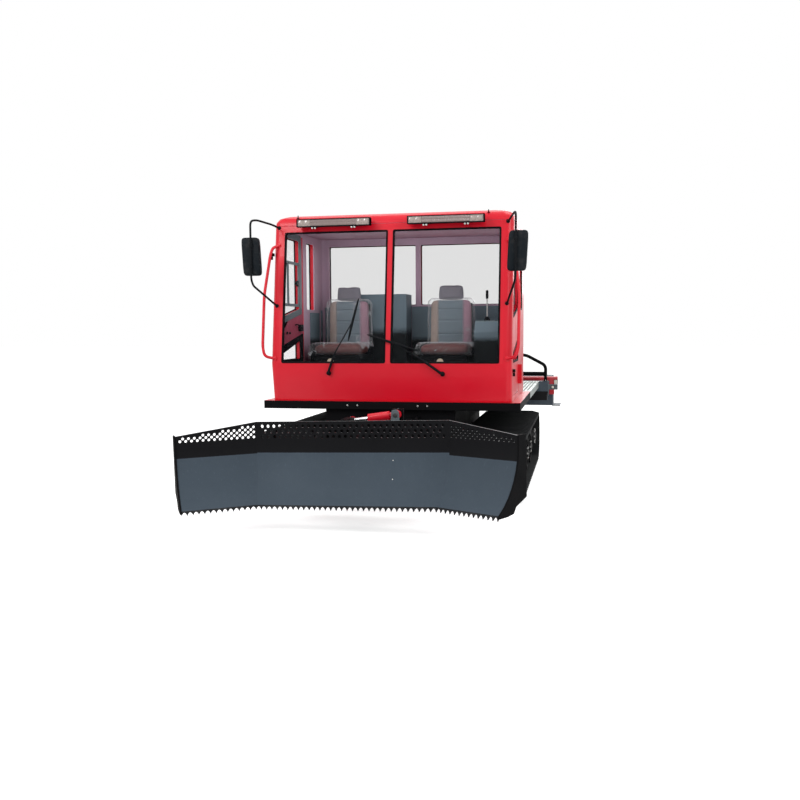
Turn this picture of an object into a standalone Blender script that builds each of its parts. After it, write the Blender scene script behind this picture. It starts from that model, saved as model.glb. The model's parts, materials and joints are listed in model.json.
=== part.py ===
"""Small tracked snow groomer: red two-seat cab on a flat deck, folded front blade, rear tiller.

Metres, +Z up. The front looks along -Y, the machine's left side is +X, and the tracks stand on
Z = 0. The origin is under the middle of the whole machine, blade and tiller included.
"""

from math import cos, pi, radians, sin, tan

import bmesh
import bpy
from mathutils import Matrix, Vector

GAP = 0.0004            # between touching pieces
PLAY = 0.006            # side play of forks and pins

# Deck
DECK_HALF = 1.15
DECK_FRONT = -1.10
DECK_BREAK = 0.30       # painted front half ends, tread plate begins
DECK_REAR = 2.02
DECK_TOP = 0.838
DECK_PLATE = 0.020
SKIRT_HEIGHT = 0.072
SKIRT_THICK = 0.020

# Chassis tub
TUB_HALF = 0.50
TUB_FRONT = -1.05
TUB_LOW_REAR = 1.50
TUB_BOTTOM = 0.24
TUB_TAIL_BOTTOM = 0.68
TUB_TOP = DECK_TOP - DECK_PLATE - GAP
SUBFRAME_HALF = 0.585   # wide upper part of the tub, over the tracks' inner edges
SUBFRAME_BOTTOM = 0.60

# Tracks
TRACK_OUTER = 1.19
TRACK_INNER = 0.60
TRACK_HEIGHT = 0.562
TRACK_FRONT = -1.39
TRACK_REAR = 1.49
BELT = 0.028
CLEAT = 0.030
CLEAT_LENGTH = 0.034
CLEAT_COUNT = 62
CLEAT_DROP = 0.018      # the cleats are this much lower at their outer and inner ends
CLEAT_TAPER = 0.07      # over this length
END_RADIUS = TRACK_HEIGHT / 2 - CLEAT           # outer face of the bare belt
WHEEL_Z = TRACK_HEIGHT / 2
IDLER_Y = TRACK_FRONT + TRACK_HEIGHT / 2
SPROCKET_Y = TRACK_REAR - TRACK_HEIGHT / 2
ROAD_WHEEL_RADIUS = 0.165
ROAD_WHEEL_YS = (-0.76, -0.26, 0.24, 0.74)
WHEEL_INNER = 0.94
WHEEL_OUTER = 1.13

# Cab
CAB_HALF = 1.075
CAB_REAR = 0.40
CAB_WALL = 0.05
CAB_CORNER = 0.055
WALL_CORNER = 0.030
CAB_BOTTOM = DECK_TOP + GAP
CAB_TOP = 2.40
CAB_BELT = 1.17
FRONT_FOOT = -1.070     # front wall at deck level
FRONT_BELT = -1.125     # front wall just under the windscreen
FRONT_TOP = -0.956      # front wall at CAB_TOP
ROOF_TOP = 2.505
FLOOR_THICK = 0.030
GLASS = 0.006
SCREEN_LOW, SCREEN_HIGH = 1.18, 2.336
SCREEN_INNER, SCREEN_OUTER = 0.028, 0.966
REAR_LOW, REAR_HIGH = 1.714, 2.330
REAR_INNER, REAR_OUTER = 0.025, 0.95
QUARTER_FRONT, QUARTER_REAR = -0.20, 0.07
QUARTER_LOW = 1.66

# Doors, outlines in (y, z)
DOOR_LOW, DOOR_HIGH = 0.885, 2.362
DOOR_REAR = -0.30
DOOR_EDGE = 0.125       # door edge behind the raked front wall
DOOR_GAP = 0.006
DOOR_AXIS = (CAB_HALF + 0.012, -1.0)
HANDLE_LOW, HANDLE_HIGH = 0.96, 1.14
DOOR_WINDOW = ((-0.935, 1.575), (-0.405, 1.665), (-0.405, 2.325), (-0.830, 2.325))
DOOR_LOW_WINDOW = ((-0.945, 1.185), (-0.405, 1.185), (-0.405, 1.375), (-0.945, 1.255))

# Mirrors
MIRROR_X, MIRROR_Y = 1.140, -1.36

# Seats: x of the middle, by side
SEATS = (("left", 0.40), ("right", -0.63))
CUSHION_HALF = 0.24
CUSHION_FRONT, CUSHION_REAR = -0.56, -0.095
CUSHION_LOW, CUSHION_HIGH = 1.225, 1.335
BACK_HALF = 0.225
BACK_FRONT, BACK_REAR = -0.085, 0.010
BACK_HIGH = 1.785
HEAD_HALF = 0.125
HEAD_HIGH = 1.895

# Engine bay behind the cab
BAY_HALF = 0.72
BAY_FRONT, BAY_REAR = 0.62, 1.78
BAY_HIGH = 1.60
BAY_WALL = 0.03
HOOD_THICK = 0.04
HOOD_AXIS = (BAY_REAR + 0.02, BAY_HIGH + 0.02)

# Blade: a folded plate with its lower half curved forward
BLADE_Y = -2.361        # upright upper part, at the middle section
BLADE_HIGH = 0.798
BLADE_LOW = 0.204
TOOTH_LOW = 0.176       # tips of the toothed edge
TOOTH_LEAN = 0.012      # how far the tips stand ahead of the edge above them
BLADE_BEND = 0.65       # height where the curve starts
BLADE_RADIUS = 0.534
BLADE_THICK = 0.014
FOLD_HALF = 0.735
WING_ANGLE = radians(31.0)
WING_LENGTH = 0.602
WING_HIGH = 0.723
END_PLATE_DEPTH = 0.078
TILT_PIN_Z = 0.48
BOSS_REAR = -2.10
REST_TILT = radians(-1.32)

# Push frame and its cylinders
PUSH_AXIS = (-1.14, 0.36)
PUSH_FRONT = -2.02
PUSH_LUG_X = 0.452
LUG_THICK = 0.024
LIFT_BASE = (-1.14, 0.66)
LIFT_ROD = (-1.74, 0.43)
LIFT_X = 0.20
LIFT_LUG_X = LIFT_X + 0.056
EYE_HALF = 0.024
EYE_RADIUS = 0.034
TILT_BASE = (0.285, -2.10, 0.825)
TILT_ROD = (-0.060, -2.10, 0.775)

# Rear beam, guard rail and tiller
BEAM_HALF = 1.256
BEAM_DEPTH = 0.10
BEAM_BOTTOM = 0.70
BEAM_FOOT = 0.61        # bottom of the boxes under the beam's ends
BEAM_FOOT_INNER = 0.53
RAIL_Y = DECK_REAR + 0.05
TILLER_AXIS = (1.60, 0.46)
TILLER_LUG_X = 0.470
TILLER_REAR = 2.890
TOOTH_ROWS = 20
TILLER_HALF = 1.30
ROTOR = (2.62, 0.70)
ROTOR_CORE = 0.075
ROTOR_TIP = 0.150
HOOD_RADIUS = 0.185
HOOD_LOW = 0.515
SKID_X = 1.34
SKID_THICK = 0.012
TILLER_BASE = (1.60, 0.29)
TILLER_ROD = (2.20, 0.60)

COLOURS = {
    # name: (red, green, blue, roughness, metallic)
    "red_paint": (0.60, 0.012, 0.020, 0.30, 0.0),
    "black_paint": (0.010, 0.010, 0.011, 0.45, 0.0),
    "slate_paint": (0.065, 0.088, 0.110, 0.45, 0.0),
    "tread_plate": (0.42, 0.44, 0.44, 0.40, 0.9),
    "rubber": (0.018, 0.018, 0.018, 0.80, 0.0),
    "glass": (0.75, 0.80, 0.80, 0.05, 0.0),
    "vinyl": (0.20, 0.13, 0.11, 0.60, 0.0),
    "grey_plastic": (0.09, 0.12, 0.13, 0.55, 0.0),
    "black_plastic": (0.015, 0.016, 0.018, 0.50, 0.0),
    "lamp_clear": (0.70, 0.68, 0.60, 0.15, 0.0),
    "cast_iron": (0.12, 0.12, 0.12, 0.55, 0.8),
    "chrome_rod": (0.75, 0.76, 0.78, 0.12, 1.0),
}


def clear_scene():
    """Removes every object that the file holds."""
    for obj in list(bpy.data.objects):
        bpy.data.objects.remove(obj, do_unlink=True)


def material(name):
    """Returns the named Principled material, made on first use."""
    found = bpy.data.materials.get(name)
    if found:
        return found
    red, green, blue, roughness, metallic = COLOURS[name]
    made = bpy.data.materials.new(name)
    made.use_nodes = True
    shader = made.node_tree.nodes["Principled BSDF"]
    shader.inputs["Base Color"].default_value = (red, green, blue, 1.0)
    shader.inputs["Roughness"].default_value = roughness
    shader.inputs["Metallic"].default_value = metallic
    return made


# --- plain solids, as bmesh ------------------------------------------------------------------

def loft(rings):
    """A closed solid through rings of equal point count; the ends are flat caps."""
    mesh = bmesh.new()
    rows = [[mesh.verts.new(point) for point in ring] for ring in rings]
    count = len(rows[0])
    for low, high in zip(rows, rows[1:]):
        for i in range(count):
            j = (i + 1) % count
            mesh.faces.new((low[i], low[j], high[j], high[i]))
    mesh.faces.new(list(reversed(rows[0])))
    mesh.faces.new(rows[-1])
    bmesh.ops.recalc_face_normals(mesh, faces=mesh.faces)
    return mesh


def box(low, high):
    """A box between two corners."""
    (x0, y0, z0), (x1, y1, z1) = low, high
    return loft([[(x0, y0, z), (x1, y0, z), (x1, y1, z), (x0, y1, z)] for z in (z0, z1)])


def side_prism(outline, x0, x1):
    """An outline in (y, z), carried along X."""
    return loft([[(x, y, z) for y, z in outline] for x in (x0, x1)])


def rod(start, end, radius, sides=16):
    """A round bar between two points."""
    start, end = Vector(start), Vector(end)
    turn = (end - start).to_track_quat("Z", "Y")
    circle = [Vector((radius * cos(2 * pi * i / sides), radius * sin(2 * pi * i / sides), 0.0))
              for i in range(sides)]
    return loft([[turn @ point + centre for point in circle] for centre in (start, end)])


def bent_path(corners, radius, steps=4):
    """The corners joined by straight runs, each inner corner rounded with the radius."""
    corners = [Vector(corner) for corner in corners]
    path = [corners[0]]
    for before, corner, after in zip(corners, corners[1:], corners[2:]):
        into, out = (before - corner).normalized(), (after - corner).normalized()
        half = into.angle(out) / 2
        cut = min(radius / tan(half), 0.45 * (before - corner).length, 0.45 * (after - corner).length)
        first, last = corner + into * cut, corner + out * cut
        for i in range(steps + 1):
            share = i / steps
            path.append(first.lerp(corner, share).lerp(corner.lerp(last, share), share))
    path.append(corners[-1])
    return path


def tube(corners, radius, bend, sides=10):
    """A round bar along rounded corners, with its rings square to the path."""
    path = bent_path(corners, bend)
    rings = []
    side = None
    for i, point in enumerate(path):
        ahead = path[min(i + 1, len(path) - 1)] - path[max(i - 1, 0)]
        ahead.normalize()
        if side is None:
            side = ahead.orthogonal().normalized()
        side = (side - ahead * side.dot(ahead)).normalized()
        up = ahead.cross(side)
        rings.append([point + side * radius * cos(2 * pi * k / sides) + up * radius * sin(2 * pi * k / sides)
                      for k in range(sides)])
    return loft(rings)


def rounded_ring(x_half, y_front, y_rear, corner, z, steps=4):
    """A level rectangle with round corners."""
    centres = ((x_half - corner, y_front + corner, -pi / 2), (x_half - corner, y_rear - corner, 0.0),
               (corner - x_half, y_rear - corner, pi / 2), (corner - x_half, y_front + corner, pi))
    return [(cx + corner * cos(start + pi / 2 * i / steps), cy + corner * sin(start + pi / 2 * i / steps), z)
            for cx, cy, start in centres for i in range(steps + 1)]


def mirrored(mesh):
    """The same solid on the other side of the middle plane."""
    bmesh.ops.scale(mesh, vec=(-1.0, 1.0, 1.0), verts=mesh.verts)
    bmesh.ops.reverse_faces(mesh, faces=mesh.faces)
    return mesh


# --- objects ---------------------------------------------------------------------------------

def to_object(name, mesh):
    """Turns a bmesh into an object in the scene."""
    data = bpy.data.meshes.new(name)
    mesh.to_mesh(data)
    mesh.free()
    obj = bpy.data.objects.new(name, data)
    bpy.context.scene.collection.objects.link(obj)
    return obj


def node(name, finish, solids, cuts=(), side=1, holder=None):
    """One named piece: solids joined, cuts taken away, mirrored for side -1, on its holder."""
    target = to_object(name, solids[0])
    helpers = []
    for operation, group in (("UNION", solids[1:]), ("DIFFERENCE", cuts)):
        for i, mesh in enumerate(group):
            helper = to_object(f"{name}_{operation.lower()}_{i}", mesh)
            helper.hide_render = True
            helper.display_type = "WIRE"
            step = target.modifiers.new(f"{operation}_{i}", "BOOLEAN")
            step.operation = operation
            step.object = helper
            helpers.append(helper)
    if helpers:
        graph = bpy.context.evaluated_depsgraph_get()
        data = bpy.data.meshes.new_from_object(target.evaluated_get(graph))
        target.modifiers.clear()
        target.data = data
        for helper in helpers:
            bpy.data.objects.remove(helper, do_unlink=True)
    final = bmesh.new()
    final.from_mesh(target.data)
    bmesh.ops.remove_doubles(final, verts=final.verts, dist=0.00002)
    bmesh.ops.dissolve_limit(final, angle_limit=0.002, verts=final.verts, edges=final.edges)
    if side < 0:
        mirrored(final)
    final.to_mesh(target.data)
    final.free()
    target.data.name = name
    target.data.materials.clear()
    target.data.materials.append(material(finish))
    target.data.shade_smooth()
    target.data.set_sharp_from_angle(angle=radians(35))
    if holder is not None:
        target.parent = holder
        target.matrix_parent_inverse = Matrix.Translation(-Vector(holder.location))
    return target


def axis_empty(name, place, turn=(0.0, 0.0, 0.0)):
    """An empty on a joint's axis; what it holds turns with it."""
    holder = bpy.data.objects.new(name, None)
    holder.location = place
    holder.rotation_euler = turn
    bpy.context.scene.collection.objects.link(holder)
    return holder


# --- deck and chassis --------------------------------------------------------------------------

def channel(y0, y1):
    """The deck's inverted channel section between two stations."""
    inner = DECK_HALF - SKIRT_THICK
    low, under = DECK_TOP - SKIRT_HEIGHT, DECK_TOP - DECK_PLATE
    section = ((-DECK_HALF, DECK_TOP), (-DECK_HALF, low), (-inner, low), (-inner, under),
               (inner, under), (inner, low), (DECK_HALF, low), (DECK_HALF, DECK_TOP))
    return loft([[(x, y, z) for x, z in section] for y in (y0, y1)])


def make_deck():
    low = DECK_TOP - SKIRT_HEIGHT
    inner = DECK_HALF - SKIRT_THICK
    lip = box((-inner - 0.01, DECK_FRONT, low), (inner + 0.01, DECK_FRONT + SKIRT_THICK, DECK_TOP - 0.01))
    node("deck_front", "red_paint", [channel(DECK_FRONT, DECK_BREAK - GAP), lip])
    node("deck_rear", "tread_plate", [channel(DECK_BREAK, DECK_REAR - GAP)])


def make_chassis():
    outline = ((TUB_FRONT + 0.10, TUB_BOTTOM), (TUB_LOW_REAR, TUB_BOTTOM), (TUB_LOW_REAR, TUB_TAIL_BOTTOM),
               (DECK_REAR - GAP, TUB_TAIL_BOTTOM), (DECK_REAR - GAP, TUB_TOP), (TUB_FRONT, TUB_TOP),
               (TUB_FRONT, TUB_BOTTOM + 0.10))
    solids = [side_prism(outline, -TUB_HALF, TUB_HALF)]
    solids.append(box((-SUBFRAME_HALF, TUB_FRONT, SUBFRAME_BOTTOM), (SUBFRAME_HALF, TUB_LOW_REAR, TUB_TOP - 0.01)))
    # Lugs, one row for each pair: half spacing, y and z of the pin, wall that carries it
    lugs = (
        (PUSH_LUG_X, *PUSH_AXIS, TUB_FRONT + 0.02),
        (LIFT_LUG_X, *LIFT_BASE, TUB_FRONT + 0.02),
        (TILLER_LUG_X, *TILLER_AXIS, TUB_LOW_REAR - 0.02),
        (EYE_HALF + PLAY + LUG_THICK / 2, *TILLER_BASE, TUB_LOW_REAR - 0.02),
    )
    for half, y, z, wall in lugs:
        ahead = -1 if y < wall else 1
        tongue = ((wall, z - 0.06), (y, z - 0.045), (y + ahead * 0.04, z), (y, z + 0.045), (wall, z + 0.06))
        for side in (-1, 1):
            x = side * half
            solids.append(side_prism(tongue, x - LUG_THICK / 2, x + LUG_THICK / 2))
    node("chassis_tub", "black_paint", solids)


def make_rear_beam():
    rear = DECK_REAR + BEAM_DEPTH
    solids = [box((-BEAM_HALF, DECK_REAR, BEAM_BOTTOM), (BEAM_HALF, rear, DECK_TOP))]
    for side in (-1, 1):
        x0, x1 = sorted((side * BEAM_FOOT_INNER, side * (BEAM_HALF - 0.01)))
        solids.append(box((x0, DECK_REAR, BEAM_FOOT), (x1, rear - 0.01, BEAM_BOTTOM + 0.01)))
    node("rear_beam", "slate_paint", solids)
    foot, knee, top = DECK_TOP + GAP, 1.025, 1.150
    hoop = [(-1.225, RAIL_Y, foot), (-1.225, RAIL_Y, knee), (-0.99, RAIL_Y, top),
            (0.99, RAIL_Y, top), (1.225, RAIL_Y, knee), (1.225, RAIL_Y, foot)]
    lower = rod((-1.215, RAIL_Y, 0.925), (1.215, RAIL_Y, 0.925), 0.024, 12)
    node("guard_rail", "black_paint", [tube(hoop, 0.019, 0.05, 12), lower])


# --- tracks ------------------------------------------------------------------------------------

def loop_point(distance, offset):
    """Point on the belt's outer face after a distance along it, moved outwards by the offset."""
    run = SPROCKET_Y - IDLER_Y
    bend = pi * END_RADIUS
    distance %= 2 * (run + bend)
    radius = END_RADIUS + offset
    if distance < run:
        return IDLER_Y + distance, WHEEL_Z - radius
    distance -= run
    if distance < bend:
        angle = -pi / 2 + distance / END_RADIUS
        return SPROCKET_Y + radius * cos(angle), WHEEL_Z + radius * sin(angle)
    distance -= bend
    if distance < run:
        return SPROCKET_Y - distance, WHEEL_Z + radius
    angle = pi / 2 + (distance - run) / END_RADIUS
    return IDLER_Y + radius * cos(angle), WHEEL_Z + radius * sin(angle)


def belt_outline(offset, steps=20):
    """The loop's outline at an offset from the belt's outer face: two half turns."""
    radius = END_RADIUS + offset
    outline = []
    for centre, start in ((SPROCKET_Y, -pi / 2), (IDLER_Y, pi / 2)):
        for i in range(steps + 1):
            angle = start + pi * i / steps
            outline.append((centre + radius * cos(angle), WHEEL_Z + radius * sin(angle)))
    return outline


def make_track(side, name):
    length = 2 * (SPROCKET_Y - IDLER_Y + pi * END_RADIUS)
    pitch = length / CLEAT_COUNT
    rings = []
    # (place across the track, height of the cleats there)
    for x, height in ((TRACK_INNER, CLEAT - CLEAT_DROP), (TRACK_INNER + CLEAT_TAPER, CLEAT),
                      (TRACK_OUTER - CLEAT_TAPER, CLEAT), (TRACK_OUTER, CLEAT - CLEAT_DROP)):
        outline = []
        for i in range(CLEAT_COUNT):
            # (distance along the belt, height) of one cleat's four corners
            for along, rise in ((0.0, 0.0), (0.006, height), (CLEAT_LENGTH - 0.006, height), (CLEAT_LENGTH, 0.0)):
                outline.append((x, *loop_point(i * pitch + along, rise)))
        rings.append(outline)
    inner = side_prism(belt_outline(-BELT), TRACK_INNER - 0.1, TRACK_OUTER + 0.1)
    node(f"track_{name}", "rubber", [loft(rings)], [inner], side)


def wheel(y, radius, x0, x1, dish, sides=32):
    """A disc wheel with a shallow dish in its outer face."""
    rim = 0.80 * radius
    rings = []
    for x, r in ((x0, radius), (x1, radius), (x1, rim), (x1 - dish, rim * 0.92), (x1 - dish, 0.05)):
        rings.append([(x, y + r * cos(2 * pi * i / sides), r * sin(2 * pi * i / sides)) for i in range(sides)])
    return rings


def raised(rings, z):
    return loft([[(x, y, point_z + z) for x, y, point_z in ring] for ring in rings])


def make_running_gear(side, name):
    make_track(side, name)
    inside = END_RADIUS - BELT - 0.002
    wheel_z = CLEAT + BELT + ROAD_WHEEL_RADIUS + 0.002
    beam = box((0.66, -1.0, 0.19), (0.80, 0.92, 0.31))
    solids = [beam]
    for y in (-0.70, 0.60):
        solids.append(box((TUB_HALF + GAP, y - 0.07, 0.25), (0.68, y + 0.07, 0.37)))
    for y in ROAD_WHEEL_YS:
        solids.append(raised(wheel(y, ROAD_WHEEL_RADIUS, WHEEL_INNER, WHEEL_OUTER, 0.05), wheel_z))
        solids.append(rod((0.78, y, wheel_z), (WHEEL_OUTER - 0.02, y, wheel_z), 0.035, 12))
    solids.append(box((0.67, IDLER_Y - 0.03, 0.21), (0.79, -0.98, 0.29)))
    solids.append(raised(wheel(IDLER_Y, inside, WHEEL_INNER - 0.10, WHEEL_OUTER, 0.06), WHEEL_Z))
    solids.append(rod((0.74, IDLER_Y, WHEEL_Z), (WHEEL_OUTER - 0.02, IDLER_Y, WHEEL_Z), 0.04, 12))
    node(f"track_frame_{name}", "black_paint", solids, (), side)
    teeth = 14
    outline = []
    for i in range(teeth * 4):
        radius = inside if i % 4 in (0, 1) else inside - 0.030
        angle = 2 * pi * i / (teeth * 4)
        outline.append((SPROCKET_Y + radius * cos(angle), WHEEL_Z + radius * sin(angle)))
    disc = side_prism(outline, 0.84, 1.10)
    hub = rod((TUB_HALF + GAP, SPROCKET_Y, WHEEL_Z), (1.145, SPROCKET_Y, WHEEL_Z), 0.065, 20)
    node(f"drive_sprocket_{name}", "cast_iron", [disc, hub], (), side)


# --- cab ---------------------------------------------------------------------------------------

def front_y(z):
    """The cab's front wall: leaning out up to the belt, then raked back."""
    if z < CAB_BELT:
        return FRONT_FOOT + (FRONT_BELT - FRONT_FOOT) * (z - CAB_BOTTOM) / (CAB_BELT - CAB_BOTTOM)
    return FRONT_BELT + (FRONT_TOP - FRONT_BELT) * (z - CAB_BELT) / (CAB_TOP - CAB_BELT)


def door_outline(shrink):
    """The door's edge in (y, z), drawn in by the amount given."""
    low, high = DOOR_LOW + shrink, DOOR_HIGH - shrink
    rear = DOOR_REAR - shrink
    return [(rear, low), (rear, high), (front_y(high) + DOOR_EDGE + shrink, high),
            (front_y(CAB_BELT) + DOOR_EDGE + shrink, CAB_BELT), (front_y(low) + DOOR_EDGE + shrink, low)]


def make_cab_shell():
    outer, inner = [], []
    for z in (CAB_BOTTOM, CAB_BELT, CAB_TOP):
        outer.append(rounded_ring(CAB_HALF, front_y(z), CAB_REAR, CAB_CORNER, z))
    for z in (CAB_BOTTOM - 0.1, CAB_BELT, CAB_TOP + 0.1):
        inner.append(rounded_ring(CAB_HALF - CAB_WALL, front_y(z) + CAB_WALL, CAB_REAR - CAB_WALL, WALL_CORNER, z))
    cuts = [loft(inner)]
    for side in (-1, 1):
        x0, x1 = sorted((side * SCREEN_INNER, side * SCREEN_OUTER))
        cuts.append(box((x0, -1.3, SCREEN_LOW), (x1, -0.85, SCREEN_HIGH)))
        x0, x1 = sorted((side * REAR_INNER, side * REAR_OUTER))
        cuts.append(box((x0, CAB_REAR - 0.1, REAR_LOW), (x1, CAB_REAR + 0.1, REAR_HIGH)))
        x0, x1 = sorted((side * (CAB_HALF - 0.1), side * (CAB_HALF + 0.1)))
        cuts.append(side_prism(door_outline(0.0), x0, x1))
        cuts.append(box((x0, QUARTER_FRONT, QUARTER_LOW), (x1, QUARTER_REAR, DOOR_HIGH - 0.03)))
    node("cab_shell", "red_paint", [loft(outer)], cuts)


def make_roof():
    base = CAB_TOP + GAP
    rings = []
    # (height above the walls, set-back of the front, set-back of the other sides, corner)
    for rise, back, inset, corner in ((0.0, 0.0, 0.0, 0.055), (0.035, 0.006, 0.003, 0.060),
                                      (0.070, 0.030, 0.020, 0.080), (0.092, 0.085, 0.060, 0.10),
                                      (ROOF_TOP - base, 0.24, 0.16, 0.12)):
        rings.append(rounded_ring(CAB_HALF - inset, FRONT_TOP + back, CAB_REAR - inset, corner, base + rise))
    node("cab_roof", "red_paint", [loft(rings)])


def make_floor():
    low, high = CAB_BOTTOM, CAB_BOTTOM + FLOOR_THICK
    edge = CAB_WALL + 0.003
    rings = [rounded_ring(CAB_HALF - edge, FRONT_FOOT + edge, CAB_REAR - edge, WALL_CORNER, z) for z in (low, high)]
    node("cab_floor", "black_plastic", [loft(rings)])


def pane(low, high, x0, x1):
    """A raked sheet of glass in the middle of the front wall."""
    mid = CAB_WALL * 0.4
    outline = ((front_y(low) + mid, low), (front_y(high) + mid, high),
               (front_y(high) + mid + GLASS, high), (front_y(low) + mid + GLASS, low))
    return side_prism(outline, x0, x1)


def make_glass():
    for side, name in ((1, "left"), (-1, "right")):
        screen = pane(SCREEN_LOW + GAP, SCREEN_HIGH - GAP, SCREEN_INNER + GAP, SCREEN_OUTER - GAP)
        node(f"windscreen_{name}", "glass", [screen], (), side)
        sheet = box((REAR_INNER + GAP, CAB_REAR - 0.03, REAR_LOW + GAP),
                    (REAR_OUTER - GAP, CAB_REAR - 0.03 + GLASS, REAR_HIGH - GAP))
        node(f"rear_window_{name}", "glass", [sheet], (), side)


def inset(outline, amount):
    """A convex outline in (y, z) drawn in towards its middle by the amount along each axis."""
    middle_y = sum(y for y, _ in outline) / len(outline)
    middle_z = sum(z for _, z in outline) / len(outline)
    return [(y + (amount if y < middle_y else -amount), z + (amount if z < middle_z else -amount))
            for y, z in outline]


def make_door(side, name):
    axis_x, axis_y = DOOR_AXIS
    holder = axis_empty(f"door_{name}_axis", (side * axis_x, axis_y, 0.0))
    inner, outer = CAB_HALF - CAB_WALL + 0.004, CAB_HALF
    slab = side_prism(door_outline(DOOR_GAP), inner, outer)
    cuts = [side_prism(DOOR_WINDOW, inner - 0.1, outer + 0.1),
            side_prism(DOOR_LOW_WINDOW, inner - 0.1, outer + 0.1)]
    handle = box((outer - 0.005, -0.375, HANDLE_LOW), (outer + 0.035, -0.345, HANDLE_HIGH))
    node(f"door_{name}", "red_paint", [slab, handle], cuts, side, holder)
    middle = CAB_HALF - CAB_WALL / 2
    glass = side_prism(inset(DOOR_WINDOW, 0.001), middle, middle + GLASS)
    node(f"door_window_{name}", "glass", [glass], (), side, holder)


def make_interior():
    floor = CAB_BOTTOM + FLOOR_THICK + GAP
    node("dashboard", "grey_plastic", [side_prism(((-1.01, floor), (-0.78, floor), (-0.74, 1.06),
                                                   (-0.80, 1.13), (-1.01, 1.13)), -0.99, 0.99)])
    lever = [rod((0.775, -0.20, 1.52), (0.775, -0.21, 1.80), 0.011, 10),
             loft([[(0.775 + r * cos(2 * pi * i / 10), -0.21 + r * sin(2 * pi * i / 10), z) for i in range(10)]
                   for z, r in ((1.77, 0.012), (1.785, 0.024), (1.815, 0.026), (1.833, 0.012))])]
    desk = side_prism(((-0.50, floor), (0.10, floor), (0.10, 1.54), (-0.42, 1.54), (-0.50, 1.44)), 0.68, 0.92)
    node("control_console", "grey_plastic", [desk] + lever)
    node("rear_cabinet", "grey_plastic", [box((-0.62, 0.07, floor), (-0.07, CAB_REAR - CAB_WALL - GAP, 1.82))])
    for name, x in SEATS:
        top = CUSHION_LOW - GAP
        frame = [box((x - 0.17, -0.48, floor), (x + 0.17, -0.14, 1.15)),
                 box((x - 0.22, -0.54, 1.14), (x + 0.22, BACK_REAR + 0.03, top)),
                 box((x - 0.20, BACK_REAR + 0.003, 1.16), (x + 0.20, BACK_REAR + 0.028, 1.72))]
        node(f"seat_frame_{name}", "black_plastic", frame)
        node(f"seat_cushion_{name}", "vinyl", [box((x - CUSHION_HALF, CUSHION_FRONT, CUSHION_LOW),
                                                   (x + CUSHION_HALF, CUSHION_REAR, CUSHION_HIGH))])
        back = [box((x - BACK_HALF, BACK_FRONT, CUSHION_LOW + 0.02), (x + BACK_HALF, BACK_REAR, BACK_HIGH)),
                box((x - HEAD_HALF, BACK_FRONT + 0.01, BACK_HIGH - 0.02), (x + HEAD_HALF, BACK_REAR - 0.005, HEAD_HIGH))]
        node(f"seat_back_{name}", "vinyl", back)


def make_cab_fittings(side, name):
    # Work-light bar on two feet, over the windscreen
    y, z = -1.010, 2.412
    bar = box((0.165, y - 0.045, z - 0.034), (0.835, y + 0.020, z + 0.034))
    feet = [box((x - 0.015, y, CAB_TOP + 0.004), (x + 0.015, FRONT_TOP - GAP, CAB_TOP + 0.024))
            for x in (0.32, 0.68)]
    node(f"light_bar_{name}", "lamp_clear", [bar] + feet, (), side)
    # Mirror ahead of the corner, clamped behind one tube that runs down from the brow
    my, mx, ahead = MIRROR_Y, MIRROR_X, MIRROR_Y - 0.053
    shell = rounded_ring(0.080, -0.045, 0.040, 0.030, 0.0)
    rings = []
    for height, size in ((1.938, 0.80), (1.956, 1.0), (2.244, 1.0), (2.262, 0.80)):
        rings.append([(mx + px * size, my + py * size, height) for px, py, _ in shell])
    arm = tube([(1.030, front_y(2.385) - 0.001 - GAP, 2.385), (1.060, -1.06, 2.405), (1.110, my + 0.05, 2.418),
                (mx - 0.012, ahead, 2.400), (mx - 0.012, ahead, 1.900), (1.118, ahead + 0.02, 1.850),
                (1.030, front_y(1.685) - 0.001 - GAP, 1.685)], 0.009, 0.05, 8)
    skin = loft([[(x, front_y(h) - GAP + deep, h) for x, deep in ((0.9, 0), (1.3, 0), (1.3, 0.3), (0.9, 0.3))]
                 for h in (CAB_BELT, CAB_TOP + 0.2)])
    node(f"mirror_{name}", "black_plastic", [loft(rings), arm], [skin], side)
    # Grab rail up the corner post: (x, distance ahead of the front wall, z)
    route = ((1.035, -0.010, 1.215), (1.115, 0.045, 1.235), (1.135, 0.045, 1.320), (1.135, 0.045, 1.780),
             (1.090, 0.042, 2.140), (1.072, 0.036, 2.205), (1.030, -0.010, 2.225))
    grip = tube([(x, front_y(z) - ahead, z) for x, ahead, z in route], 0.013, 0.06, 10)
    skin = loft([[(x, front_y(h) - GAP + deep, h) for x, deep in ((0.9, 0), (1.3, 0), (1.3, 0.3), (0.9, 0.3))]
                 for h in (CAB_BELT, CAB_TOP)])
    node(f"grab_rail_{name}", "red_paint", [grip], [skin], side)


# --- engine bay --------------------------------------------------------------------------------

def make_engine_bay():
    base = DECK_TOP + GAP
    walls = box((-BAY_HALF, BAY_FRONT, base), (BAY_HALF, BAY_REAR, BAY_HIGH))
    room = box((-BAY_HALF + BAY_WALL, BAY_FRONT + BAY_WALL, base - 0.1),
               (BAY_HALF - BAY_WALL, BAY_REAR - BAY_WALL, BAY_HIGH + 0.1))
    node("engine_housing", "black_paint", [walls], [room])
    node("engine_block", "cast_iron", [box((-0.32, 0.82, base), (0.32, 1.58, 1.42))])
    holder = axis_empty("engine_hood_axis", (0.0, *HOOD_AXIS))
    low = BAY_HIGH + 0.005
    lid = box((-BAY_HALF - 0.01, BAY_FRONT - 0.01, low), (BAY_HALF + 0.01, BAY_REAR + 0.01, low + HOOD_THICK))
    node("engine_hood", "red_paint", [lid], (), 1, holder)


# --- blade and push frame ------------------------------------------------------------------------

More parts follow.
